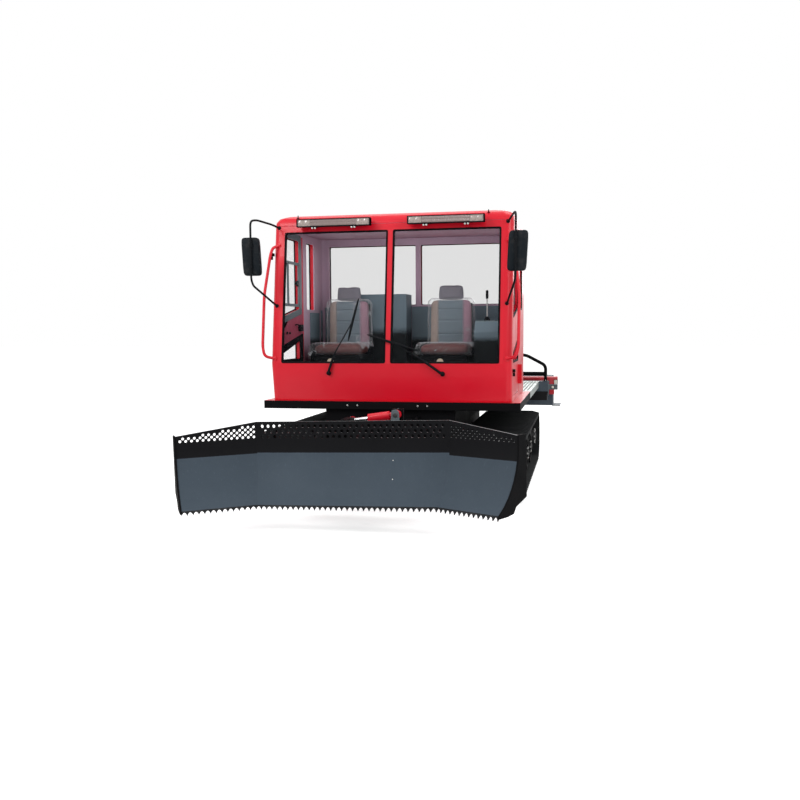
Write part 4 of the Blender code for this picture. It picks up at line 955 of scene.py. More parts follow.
@dataclass
class Console:
    """The driver's side console: a sloping desk with a pale edge strip and a slim lever."""
    x: tuple[float, float] = (0.68, 0.92)
    floor: float = 0.8725
    top: float = 1.54
    lever_x: float = 0.768
    lever_y: float = -0.20

    def build(self) -> None:
        """Builds the desk, its strip and switches, and the lever with its boot and grip."""
        low, high = self.x
        side = np.array([(-0.50, self.floor), (0.10, self.floor), (0.10, self.top), (-0.42, self.top), (-0.50, 1.44)])
        outline = np.stack([np.full(5, low), side[:, 0], side[:, 1]], 1)
        desk = Shape().prism(outline, (0, 0, 0), (high - low, 0, 0))
        desk.object("console_desk", TRIM, Body.MACHINE, 0.008, replaces=("control_console",))
        strip = Shape().box((low + 0.004, -0.424, self.top - 0.004), (high - 0.004, -0.410, self.top + 0.004))
        strip.object("console_strip", PALE_TRIM, Body.MACHINE, 0.0015)
        boot = Shape()
        fold = np.linspace(0, 1, 25)
        # bellows: a cone whose radius carries a small wave
        profile = [(0.045 * t, 0.034 - 0.020 * t + 0.003 * abs(sin(4 * pi * t))) for t in fold]
        boot.lathe((self.lever_x, self.lever_y, self.top), (0, 0, 1), profile)
        for i, x in enumerate(np.linspace(low + 0.05, high - 0.05, 4)):
            boot.box((x - 0.012, -0.36, self.top - 0.001), (x + 0.012, -0.33, self.top + 0.006 + 0.003 * (i % 2)))
        boot.object("console_boot_and_switches", PLASTIC, Body.MACHINE, 0.001)
        shaft = Shape().tube(np.array([(self.lever_x, self.lever_y, self.top + 0.03), (self.lever_x, self.lever_y, 1.76)]),
                             0.0065, 12)
        shaft.object("lever_shaft", ZINC, Body.MACHINE)
        grip = Shape().lathe((self.lever_x, self.lever_y - 0.002, 1.752), (0, -0.02, 1),
                             [(0, 0.008), (0.004, 0.012), (0.03, 0.0135), (0.055, 0.0125), (0.072, 0.0135), (0.080, 0.009),
                              (0.083, 0.003)], 20)
        grip.object("lever_grip", PLASTIC, Body.MACHINE)


@dataclass
class Seats:
    """The two seats: stuffed pads swelled as cloth, sewn in panels, under loose clear film."""
    places: tuple = (("left", 0.40), ("right", -0.63))
    cushion: tuple = (0.232, 0.222, 0.050)
    cushion_centre: tuple = (-0.3275, 1.278)
    back: tuple = (0.213, 0.040, 0.252)
    back_centre: tuple = (-0.0375, 1.505)
    head: tuple = (0.122, 0.030, 0.066)
    head_centre: tuple = (-0.036, 1.822)
    voxel: float = 0.006
    pressure: float = 4.0
    frames: int = 20
    seam_width: float = 0.006
    pads: list = None

    def block(self, name: str, centre: tuple, half: tuple, finish: Finish, power: tuple, taper: float):
        """A closed rounded block: the signed powers of a sphere's coordinates, scaled by the half sizes.

        Args:
            name: the object's name.
            centre: its middle.
            half: half sizes along X, Y and Z.
            finish: its finish.
            power: exponents across and along Z; small ones make it boxy.
            taper: how much narrower it is at the top, as a share.
        """
        lat = np.linspace(-pi / 2, pi / 2, 49)[1:-1, None]
        lon = np.linspace(0, 2 * pi, 96, endpoint=False)[None, :]
        signed = lambda v, p: np.sign(v) * np.abs(v) ** p
        wide = signed(np.cos(lat), power[1])
        unit = np.stack([wide * signed(np.cos(lon), power[0]), wide * signed(np.sin(lon), power[0]),
                         signed(np.sin(lat), power[1]) + 0 * lon], -1)
        unit[..., 0] *= 1.0 - taper * 0.5 * (unit[..., 2] + 1.0)
        points = unit * np.array(half) + np.array(centre)
        obj = Shape().rings(points).object(name, finish, Body.MACHINE, angle=80)
        return obj

    def swell(self, pads: list[tuple]) -> None:
        """Remeshes each pad, swells it as pressed cloth, and keeps the capped result.

        Args:
            pads: rows of object and the most that a point may move.
        """
        scene = bpy.context.scene
        starts = []
        for obj, _ in pads:
            step = obj.modifiers.new("even", "REMESH")
            step.mode = "VOXEL"
            step.voxel_size = self.voxel
        bpy.context.view_layer.update()
        graph = bpy.context.evaluated_depsgraph_get()
        for obj, _ in pads:
            even = bpy.data.meshes.new_from_object(obj.evaluated_get(graph))
            obj.modifiers.clear()
            obj.data = even
            starts.append(self.read(even))
            cloth = obj.modifiers.new("cloth", "CLOTH")
            cloth.settings.use_pressure = True
            cloth.settings.uniform_pressure_force = self.pressure
            cloth.settings.effector_weights.gravity = 0.0
            cloth.settings.quality = 4
            cloth.point_cache.frame_start = 1
            cloth.point_cache.frame_end = self.frames
        for number in range(1, self.frames + 1):
            scene.frame_set(number)
        graph = bpy.context.evaluated_depsgraph_get()
        ends = [self.read(obj.evaluated_get(graph).data) for obj, _ in pads]
        for (obj, cap), start, end in zip(pads, starts, ends):
            move = end - start
            length = np.linalg.norm(move, axis=1, keepdims=True)
            move *= np.minimum(1.0, cap / np.maximum(length, 1e-9))
            obj.modifiers.clear()
            obj.data.vertices.foreach_set("co", (start + move).ravel())
        scene.frame_set(1)

    @staticmethod
    def read(data) -> Array:
        """A mesh's points as an array."""
        points = np.empty(len(data.vertices) * 3)
        data.vertices.foreach_get("co", points)
        return points.reshape(-1, 3)

    def sew(self, obj, x: float, half: float, axis: int, rows: tuple, columns: tuple, depth: float) -> None:
        """Draws seams into a pad and marks its panels.

        A point moves along the axis towards the pad's middle by a bell of its distance from each
        seam. The attribute "panel" is the place across the pad, from 0 to 1.

        Args:
            obj: the pad.
            x: its middle across the cab.
            half: its half width.
            axis: the axis of its broad face.
            rows: seams across it, as places along its other long axis.
            columns: seams along it, as shares of the half width.
            depth: how deep the seams are.
        """
        points = self.read(obj.data)
        middle = (points[:, axis].max() + points[:, axis].min()) / 2
        across = (points[:, 0] - x) / half
        other = 3 - axis
        bell = sum(np.exp(-((across - c) * half / self.seam_width) ** 2) for c in columns)
        inside = (np.abs(across) < max(np.abs(columns))) if columns else np.ones(len(points), bool)
        for row in rows:
            bell = bell + inside * np.exp(-((points[:, other] - row) / self.seam_width) ** 2)
        points[:, axis] -= np.sign(points[:, axis] - middle) * depth * np.clip(bell, 0.0, 1.0)
        obj.data.vertices.foreach_set("co", points.ravel())
        panel = obj.data.attributes.get("panel") or obj.data.attributes.new("panel", "FLOAT", "POINT")
        panel.data.foreach_set("value", np.clip(0.5 + across / 2, 0.0, 1.0))
        obj.data.update()

    def film_mesh(self, name: str, points: Array, looped: bool):
        """A film from a grid of points, given a thickness."""
        rows, columns = points.shape[:2]
        data = bpy.data.meshes.new(name)
        data.from_pydata(points.reshape(-1, 3).tolist(), [], grid_faces(rows, columns, False, looped))
        obj = bpy.data.objects.new(name, data)
        bpy.context.scene.collection.objects.link(obj)
        settle(obj, FILM, Body.MACHINE, 0.0, 180.0, ())
        wall = obj.modifiers.new("thickness", "SOLIDIFY")
        wall.thickness = 0.0004
        wall.offset = 1.0
        return obj

    def creases(self, u: Array, v: Array, seed: float) -> Array:
        """Loose folds: sharp ridges of warped sine waves, the negative of their absolute values."""
        warp = 0.35 * np.sin(5.1 * v + seed) + 0.22 * np.sin(3.3 * u + 2.0 * seed) + 0.12 * np.sin(11.0 * v - seed)
        first = 1.0 - np.abs(np.sin(6.0 * u + 2.2 * warp + 2.0 * v))
        second = 1.0 - np.abs(np.sin(9.0 * v + 3.0 * warp - 3.5 * u))
        third = 1.0 - np.abs(np.sin(15.0 * u - 7.0 * v + 4.0 * warp))
        return 0.55 * first ** 3 + 0.35 * second ** 4 + 0.25 * third ** 4

    def back_film(self, name: str, x: float, seed: float) -> None:
        """A bag over the backrest: level superellipse loops that narrow to a crease at the top."""
        v = np.linspace(0.0, 1.0, 70)[:, None]
        u = np.linspace(0.0, 2 * pi, 150, endpoint=False)[None, :]
        centre_y, _ = self.back_centre
        low, high = 1.300, 1.772
        close = np.clip((v - 0.90) / 0.10, 0.0, 1.0) ** 2
        flare = np.clip(1.0 - v / 0.12, 0.0, 1.0) ** 2
        half_x = 0.226 * (1.0 - 0.16 * close) + 0.012 * flare
        half_y = 0.060 * (1.0 - 0.72 * close) + 0.004 * flare
        signed = lambda value, p: np.sign(value) * np.abs(value) ** p
        fold = self.creases(u, 1.7 * v, seed) * (0.0065 + 0.005 * (1.0 - v)) * (1.0 - 0.6 * close)
        flat_x, flat_y = signed(np.cos(u), 0.42), signed(np.sin(u), 0.42)
        points = np.stack([x + (half_x + fold) * flat_x, centre_y + 0.004 + (half_y + fold) * flat_y,
                           low + (high - low) * v + 0.004 * np.sin(3 * u + seed) * (1 - v)], -1)
        self.film_mesh(f"seat_back_film_{name}", points, True)

    def cushion_film(self, name: str, x: float, seed: float) -> None:
        """A sheet over the cushion: flat on top, rolled over the front edge, with drooping ends."""
        u = np.linspace(-1.0, 1.0, 120)[:, None]
        v = np.linspace(0.0, 1.0, 70)[None, :]
        front, back, top = -0.566, -0.125, 1.343
        # along v: from the rear over the top, round the front edge and down
        run = v * 0.56
        over = np.clip(run - (back - front), 0.0, None)
        turn = np.clip(over / 0.045, 0.0, 1.0) * pi / 2
        y = np.maximum(back - run, front) - 0.018 * np.sin(turn)
        z = top - 0.018 * (1.0 - np.cos(turn)) - np.clip(over - 0.03, 0.0, None)
        end = np.clip((np.abs(u) - 0.86) / 0.14, 0.0, 1.0)
        fold = self.creases(3.0 * u, 2.2 * v, seed) * (0.005 + 0.008 * end)
        droop = 0.040 * end ** 1.5 * (1.0 + 0.5 * np.sin(17.0 * v + seed))
        points = np.stack([x + 0.262 * u + 0.006 * end * np.sign(u) * np.sin(23.0 * v), y - fold * np.sin(turn),
                           z + fold * np.cos(turn) - droop + 0.0 * u], -1)
        self.film_mesh(f"seat_cushion_film_{name}", points, False)

    def build(self) -> None:
        """Builds every pad, swells them together, sews them and lays the film."""
        pads, sewing = [], []
        for name, x in self.places:
            cushion = self.block(f"seat_cushion_pad_{name}", (x, *self.cushion_centre), self.cushion, MAROON,
                                 (0.28, 0.55), 0.0)
            back = self.block(f"seat_back_pad_{name}", (x, *self.back_centre), self.back, SEAT_CLOTH, (0.35, 0.22), 0.05)
            head = self.block(f"seat_head_pad_{name}", (x, *self.head_centre), self.head, HEAD_CLOTH, (0.35, 0.20), 0.07)
            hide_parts(f"seat_cushion_{name}")
            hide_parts(f"seat_back_{name}")
            pads += [(cushion, 0.008), (back, 0.009), (head, 0.006)]
            sewing += [(cushion, x, self.cushion[0], 2, (-0.42, -0.27), (-0.62, 0.62), 0.006),
                       (back, x, self.back[0], 1, (1.42, 1.55, 1.66), (-0.60, 0.60), 0.007),
                       (head, x, self.head[0], 1, (), (), 0.0)]
        self.swell(pads)
        for row in sewing:
            self.sew(*row)
        for obj, _ in pads:
            obj.data.shade_smooth()
            step = obj.modifiers.new("smooth", "SUBSURF")
            step.levels = step.render_levels = 1
        for number, (name, x) in enumerate(self.places):
            self.back_film(name, x, 1.3 + 2.1 * number)
            self.cushion_film(name, x, 0.4 + 1.7 * number)


@dataclass
class Blade:
    """The folded blade: curved plates with perforated black bands and a toothed lower edge."""
    plane_y: float = -2.361
    high: float = 0.798
    low: float = 0.204
    tip: float = 0.176
    tip_lean: float = 0.012
    bend: float = 0.65
    radius: float = 0.534
    thick: float = 0.014
    fold: float = 0.735
    wing_angle: float = radians(31.0)
    wing_length: float = 0.602
    wing_high: float = 0.723
    pin_z: float = 0.48
    tooth: float = 0.045
    notch: float = 0.025
    end_plate: float = 0.078
    rest_tilt: float = radians(-1.32)
    black_from: tuple[float, float, float] = (0.565, 0.547, 0.560)
    hole_pitch: float = 0.046

    def turned(self, points: Array) -> Array:
        """Turns points with the blade's rest tilt about its pin."""
        c, s = cos(self.rest_tilt), sin(self.rest_tilt)
        x, y, z = points[..., 0], points[..., 1], points[..., 2] - self.pin_z
        return np.stack([x * c + z * s, y, -x * s + z * c + self.pin_z], -1)

    def mirrored_tilt(self, arrays: list[Array]) -> list[Array]:
        """Undoes the rest tilt twice, so that a mirror image leans the same way as its twin."""
        turn = Matrix.Rotation(-2 * self.rest_tilt, 3, "Y")
        pin = np.array((0, 0, self.pin_z))
        return [(a - pin) @ np.array(turn).T + pin for a in arrays]

    def flipped(self, shape: Shape) -> Shape:
        """The same shape on the machine's right side."""
        shape.points = [p * (-1, 1, 1) for p in self.mirrored_tilt(shape.points)]
        return shape

    def paint(self, part: int, side: int = 1) -> Finish:
        """The finish of the middle plate (0), the left wing (1) or the right wing (2): near black above a line that
        steps from plate to plate, slate below it.
        """
        tilt = (sin(self.rest_tilt), 0.0, cos(self.rest_tilt))
        mark = self.black_from[part] - self.pin_z * (1 - cos(self.rest_tilt))
        return replace(FACE, name=f"blade_paint_{part}", change=Change(mark, (0.004, 0.004, 0.005), tilt))

    def forward(self, z: Array) -> Array:
        """How far the face stands ahead of its upright part: an arc below the bend, a lean at the tips."""
        drop = np.maximum(0.0, self.bend - np.maximum(z, self.low))
        lean = self.tip_lean * np.clip((self.low - z) / (self.low - self.tip), 0.0, 1.0)
        return self.radius - np.sqrt(self.radius ** 2 - drop ** 2) + lean

    def fold_point(self, offset: Array, z: Array, side: int = 1) -> Array:
        """Points on the plane that halves the fold's angle."""
        return np.stack([side * (self.fold - tan(self.wing_angle / 2) * offset), self.plane_y - offset, z], -1)

    def wing_point(self, offset: Array, z: Array, along: float) -> Array:
        """Points on the left wing at a distance from the fold."""
        c, s = cos(self.wing_angle), sin(self.wing_angle)
        return np.stack([self.fold + c * along - s * offset, self.plane_y - s * along - c * offset,
                         z + 0 * offset], -1)

    def between(self, start, end, high0: float, high1: float, length: float, heights: Array) -> Shape:
        """A plate between two section lines, through rows of heights, as a closed grid."""
        count = heights.shape[1]
        u = np.linspace(0, 1, count)
        z = np.concatenate([(high0 + (high1 - high0) * u)[None], heights]) if high0 else heights
        offset = self.forward(z)
        mix = lambda deep: (start(offset - deep, z) * (1 - u)[None, :, None] + end(offset - deep, z) * u[None, :, None])
        rings = np.concatenate([mix(0.0), mix(self.thick)[::-1]]).transpose(1, 0, 2)
        return Shape().rings(self.turned(rings))

    def plate(self, start, end, high0: float, high1: float, length: float) -> Shape:
        """The painted plate: rows run down the front and up the back."""
        count = round(length / self.tooth) * 2 + 1
        rows = self.bend + (self.low + 0.006 - self.bend) * np.linspace(0, 1, 16)[:, None]
        return self.between(start, end, high0, high1, length, np.broadcast_to(rows, (16, count)))

    def teeth(self, start, end, length: float) -> Shape:
        """The toothed strip under the plate.

        Its lower row rises from each tip by a power of the absolute sine of the distance, which
        leaves sharp points and round notches.
        """
        number = round(length / self.tooth)
        u = np.linspace(0, 1, number * 8 + 1)
        foot = self.tip + self.notch * np.abs(np.sin(pi * number * u)) ** 0.8
        top = np.full(len(u), self.low + 0.006)
        return self.between(start, end, 0.0, 0.0, length, np.stack([top, (top + foot) / 2, foot]))

    def holes(self, centres: Array, normal: tuple, radius: float) -> Shape:
        """Short fourteen-sided plugs at each centre, along the plate's normal."""
        normal = np.asarray(normal, float)
        side = np.cross(normal, (0, 0, 1.0))
        angle = np.linspace(0, 2 * pi, 14, endpoint=False)[:, None]
        circle = radius * (side * np.cos(angle) + np.array((0, 0, 1.0)) * np.sin(angle))
        shape = Shape()
        for centre in centres:
            shape.prism(self.turned(centre + circle), -0.05 * normal, 0.05 * normal)
        return shape

    def finish_plate(self, obj, plugs: Shape) -> None:
        """Cuts the holes, and gives the upper edge its worn paint."""
        cut(obj, plugs)
        data = obj.data
        normal = np.empty(len(data.polygons) * 3)
        data.polygons.foreach_get("normal", normal)
        centre = np.empty(len(data.polygons) * 3)
        data.polygons.foreach_get("center", centre)
        data.materials.append(WORN.material())
        worn = (normal[2::3] > 0.9) & (centre[2::3] > self.wing_high - 0.05)
        data.polygons.foreach_set("material_index", worn.astype(np.int32))
        data.shade_smooth()
        data.set_sharp_from_angle(angle=radians(35))

    def cheek(self) -> Array:
        """The end plate's two outlines, ahead of the face in front and a little behind it."""
        front = [(0.006, self.wing_high + 0.004), (0.006, self.bend)]
        front += [(float(self.forward(z)) + 0.006, float(z)) for z in np.linspace(self.bend, self.low, 9)[1:]]
        reach = float(self.forward(np.array(self.low))) + 0.012
        rest = [(reach, 0.190), (0.150, 0.190), (0.075, 0.200), (0.045, 0.245), (-self.end_plate, 0.295),
                (-self.end_plate, self.wing_high + 0.004)]
        line = np.array(front + rest)
        return np.stack([self.turned(self.wing_point(line[:, 0], line[:, 1], along))
                         for along in (self.wing_length - 0.004, self.wing_length + 0.010)])

    def marks(self) -> None:
        """A few bolt heads on the middle face."""
        heads, profile = Shape(), [(0.0, 0.0050), (0.002, 0.0050), (0.004, 0.003)]
        for x, z in ((0.318, 0.508), (0.322, 0.378)):
            ahead = float(self.forward(np.array(z)))
            place = self.turned(np.array([x, self.plane_y - ahead + 0.001, z]))
            slope = (self.bend - z) / self.radius
            heads.lathe(tuple(place), (0, -1, slope), profile, 8)
        heads.object("blade_bolt_heads", ZINC, Body.BLADE)

    def middle(self) -> None:
        """The middle plate with three staggered rows of holes."""
        left = lambda o, z: self.fold_point(o, z, -1)
        right = lambda o, z: self.fold_point(o, z, 1)
        plate = self.plate(left, right, self.high, self.high, 2 * self.fold)
        obj = plate.object("blade_middle_plate", self.paint(0), Body.BLADE, replaces=("blade_centre",))
        centres = []
        for shift, z in ((0.005, 0.685), (0.025, 0.724), (0.0, 0.763)):
            x = -0.691 + shift + np.arange(31) * self.hole_pitch
            x = x[x < self.fold - 0.030]
            centres.append(np.stack([x, np.full(len(x), self.plane_y), np.full(len(x), z)], 1))
        self.finish_plate(obj, self.holes(np.concatenate(centres), (0, 1, 0), 0.0130))
        self.teeth(left, right, 2 * self.fold).object("blade_middle_teeth", TOOTH, Body.BLADE)

    def wing(self, side: int, name: str) -> None:
        """A wing plate with five rows of smaller holes, its teeth and its end plate."""
        right = lambda o, z: self.fold_point(o, z, 1)
        tip = lambda o, z: self.wing_point(o, z, self.wing_length)
        c, s = cos(self.wing_angle), sin(self.wing_angle)
        hole_rows = []
        for row, z in enumerate((0.684, 0.703, 0.722, 0.741, 0.760)):
            along = (np.arange(14) + 0.5 + 0.5 * (row % 2)) * 0.042
            top = self.high + (self.wing_high - self.high) * along / self.wing_length
            along = along[(z < top - 0.022) & (along < self.wing_length - 0.02)]
            hole_rows.append(np.array([self.wing_point(np.zeros(1), np.full(1, z), a)[0] for a in along]))
        plugs = self.holes(np.concatenate([h for h in hole_rows if len(h)]), (s, c, 0), 0.0105)
        plate = self.plate(right, tip, self.high, self.wing_high, self.wing_length)
        teeth = self.teeth(right, tip, self.wing_length)
        cheek = Shape().rings(self.cheek())
        if side < 0:
            plate, plugs, teeth, cheek = (self.flipped(shape) for shape in (plate, plugs, teeth, cheek))
        obj = plate.object(f"blade_wing_plate_{name}", self.paint(1 if side > 0 else 2), Body.BLADE,
                           replaces=(f"blade_wing_{name}",))
        self.finish_plate(obj, plugs)
        teeth.object(f"blade_wing_teeth_{name}", TOOTH, Body.BLADE)
        cheek.object(f"blade_end_plate_{name}", BLACK, Body.BLADE, 0.002)

    def ribs(self) -> None:
        """Upright stiffeners behind the middle plate, following its curve."""
        shape = Shape()
        z = np.linspace(0.23, 0.74, 12)
        deep = self.forward(z)
        for x in (-0.60, -0.30, 0.30, 0.60):
            front = np.stack([np.full(12, x), self.plane_y - deep + self.thick - 0.002, z], 1)
            back = np.stack([np.full(12, x), self.plane_y - deep * 0.55 + self.thick + 0.055, z], 1)
            outline = np.concatenate([front, back[::-1]])
            shape.prism(self.turned(outline), (-0.005, 0, 0), (0.005, 0, 0))
        shape.object("blade_back_ribs", BLACK, Body.BLADE, 0.001)

    def build(self) -> None:
        """Builds the middle plate, both wings and what is bolted or welded to them."""
        self.middle()
        for side, name in ((1, "left"), (-1, "right")):
            self.wing(side, name)
        self.marks()
        self.ribs()


@dataclass
class Rear:
    """The guard rail and the lamps at the beam's ends."""
    rail_y: float = 2.07
    beam_x: float = 1.256
    beam_y: float = 2.118
    lamp: tuple[float, float] = (1.346, 0.829)
    side_lamp: tuple[float, float] = (1.312, 0.765)

    def rail(self) -> None:
        """The rail as smooth tubes with feet and bolts."""
        y = self.rail_y
        hoop = bent([(-1.225, y, 0.8385), (-1.225, y, 1.025), (-0.99, y, 1.150), (0.99, y, 1.150),
                     (1.225, y, 1.025), (1.225, y, 0.8385)], 0.05)
        lower = np.linspace((-1.215, y, 0.925), (1.215, y, 0.925), 5)
        shape = Shape().tube(hoop, 0.019, 18).tube(lower, 0.024, 18)
        bolts = Shape()
        for x in (-1.225, 1.225):
            shape.box((x - 0.028, y - 0.045, 0.8385), (x + 0.028, y + 0.045, 0.846))
            for dy in (-0.034, 0.034):
                bolts.lathe((x, y + dy, 0.846), (0, 0, 1), [(0, 0.008), (0.006, 0.008), (0.008, 0.005)], 6)
        shape.object("guard_rail_tubes", BLACK, Body.MACHINE, replaces=("guard_rail",))
        bolts.object("guard_rail_bolts", ZINC, Body.MACHINE)

    def lamps(self, side: int, name: str) -> None:
        """Small lamps, white ahead and red behind, on an angle bracket at the beam's end."""
        y = self.beam_y - 0.03
        stay = Shape()
        stay.box(tuple(sorted((side * self.beam_x, side * (self.beam_x + 0.005)))[:1]) + (y - 0.03, 0.66),
                 (max(side * self.beam_x, side * (self.beam_x + 0.005)), y + 0.03, 0.80))
        low, high = sorted((side * self.beam_x, side * (self.lamp[0] + 0.022)))
        stay.box((low, y - 0.003, 0.735), (high, y + 0.003, 0.80))
        stay.object(f"lamp_bracket_{name}", FRAME_TRIM, Body.MACHINE, 0.001)
        for label, (x, z), reach in (("end", self.lamp, 0.024), ("inner", self.side_lamp, 0.018)):
            centre = side * x
            house = Shape().box((centre - reach, y - 0.016, z - reach), (centre + reach, y + 0.016, z + reach))
            house.object(f"lamp_box_{label}_{name}", PLASTIC, Body.MACHINE, 0.003)
            inner = reach - 0.004
            front = Shape().box((centre - inner, y - 0.024, z - inner), (centre + inner, y - 0.015, z + inner))
            front.object(f"lamp_front_{label}_{name}", LENS, Body.MACHINE, 0.003)
            back = Shape().box((centre - inner, y + 0.015, z - inner), (centre + inner, y + 0.024, z + inner))
            back.object(f"lamp_back_{label}_{name}", RED_LENS, Body.MACHINE, 0.003)

    def build(self) -> None:
        """Builds the rail and both lamp groups."""
        self.rail()
        for side, name in ((1, "left"), (-1, "right")):
            self.lamps(side, name)


@dataclass
class EngineBay:
    """Louvred panels and latches on the engine housing, ribs on its hood, and a filler."""
    half: float = 0.72
    front: float = 0.62
    back: float = 1.78
    hood_top: float = 1.645
    pitch: float = 0.050
    fin: tuple[float, float] = (0.014, 0.030)

    def louvres(self, name: str, origin: tuple, along: tuple, out: tuple, length: float, low: float, high: float) -> None:
        """A raised panel with a row of slanted fins.

        Args:
            name: the object's name.
            origin: one lower end, on the wall.
            along: direction along the wall.
            out: direction away from the wall.
            length: how long the panel is.
            low: its lower edge.
            high: its upper edge.
        """
        along, out, start = np.array(along, float), np.array(out, float), np.array(origin, float)
        up = np.array((0, 0, 1.0))
        frame_line = np.array([start + up * low, start + along * length + up * low,
                               start + along * length + up * high, start + up * high])
        shape = Shape().prism(frame_line, -0.001 * out, 0.003 * out)
        reach, tall = self.fin
        inset = 0.03
        for z in np.arange(low + 0.025, high - 0.035, self.pitch):
            base = start + along * inset + up * z
            line = np.array([base, base + out * (reach + 0.003), base + out * (reach + 0.003) + up * 0.004,
                             base + up * tall])
            shape.prism(line, 0 * along, along * (length - 2 * inset))
        shape.object(name, BLACK, Body.MACHINE, 0.001)
        bolts = Shape()
        for u in (0.015, length - 0.015):
            for z in (low + 0.015, high - 0.015):
                bolts.lathe(tuple(start + along * u + up * z + out * 0.003), tuple(out),
                            [(0, 0.007), (0.004, 0.007), (0.006, 0.004)], 6)
        bolts.object(f"{name}_bolts", ZINC, Body.MACHINE)

    def latches(self) -> None:
        """Rubber latches between the housing and the hood."""
        body, keeper = Shape(), Shape()
        for side in (-1, 1):
            for y in (0.86, 1.54):
                x = side * self.half
                body.box((min(x, x + side * 0.016), y - 0.020, 1.500), (max(x, x + side * 0.016), y + 0.020, 1.575))
                keeper.box((min(x, x + side * 0.022), y - 0.013, 1.480), (max(x, x + side * 0.022), y + 0.013, 1.500))
        body.object("hood_latches", SEAL, Body.MACHINE, 0.003)
        keeper.object("hood_latch_keepers", ZINC, Body.MACHINE, 0.002)

    def hood_ribs(self) -> None:
        """Long pressed ribs along the hood: a raised cosine across, faded out at both ends."""
        shape = Shape()
        u = np.linspace(0, 1, 40)[:, None]
        v = np.linspace(-1, 1, 13)[None, :]
        for x in (-0.44, 0.0, 0.44):
            rise = 0.010 * (0.5 + 0.5 * np.cos(pi * v)) * np.clip(np.sin(pi * u) * 6, 0, 1)
            y = self.front + 0.08 + (self.back - self.front - 0.16) * u
            top = np.stack([x + 0.055 * v + 0 * u, y + 0 * v, self.hood_top - 0.002 + rise], -1)
            base = top[:, ::-1].copy()
            base[..., 2] = self.hood_top - 0.006
            shape.rings(np.concatenate([top, base], 1))
        shape.object("hood_ribs", RED, Body.HOOD)

    def filler(self) -> None:
        """A fuel filler on the left of the rear deck, with a knurled cap."""
        neck = Shape().lathe((0.95, 1.25, 0.838), (0, 0, 1), [(0, 0.062), (0.006, 0.062), (0.006, 0.045), (0.02, 0.045)], 32)
        neck.object("fuel_neck", ZINC, Body.MACHINE)
        angle = np.linspace(0, 2 * pi, 96, endpoint=False)
        radius = 0.050 + 0.0022 * np.sign(np.sin(16 * angle))
        ring = np.stack([0.95 + radius * np.cos(angle), 1.25 + radius * np.sin(angle), np.full(96, 0.858)], 1)
        cap = Shape().prism(ring, (0, 0, 0), (0, 0, 0.024))
        cap.object("fuel_cap", PLASTIC, Body.MACHINE, 0.002, 50.0)

    def build(self) -> None:
        """Builds the panels, latches, ribs and filler."""
        for side, name in ((1, "left"), (-1, "right")):
            self.louvres(f"side_louvres_{name}", (side * self.half, 0.86, 0.0), (0, 1, 0), (side, 0, 0), 0.68, 1.00, 1.46)
        self.louvres("rear_louvres", (-0.50, self.back, 0.0), (1, 0, 0), (0, 1, 0), 1.00, 0.98, 1.46)
        self.latches()
        self.hood_ribs()
        self.filler()


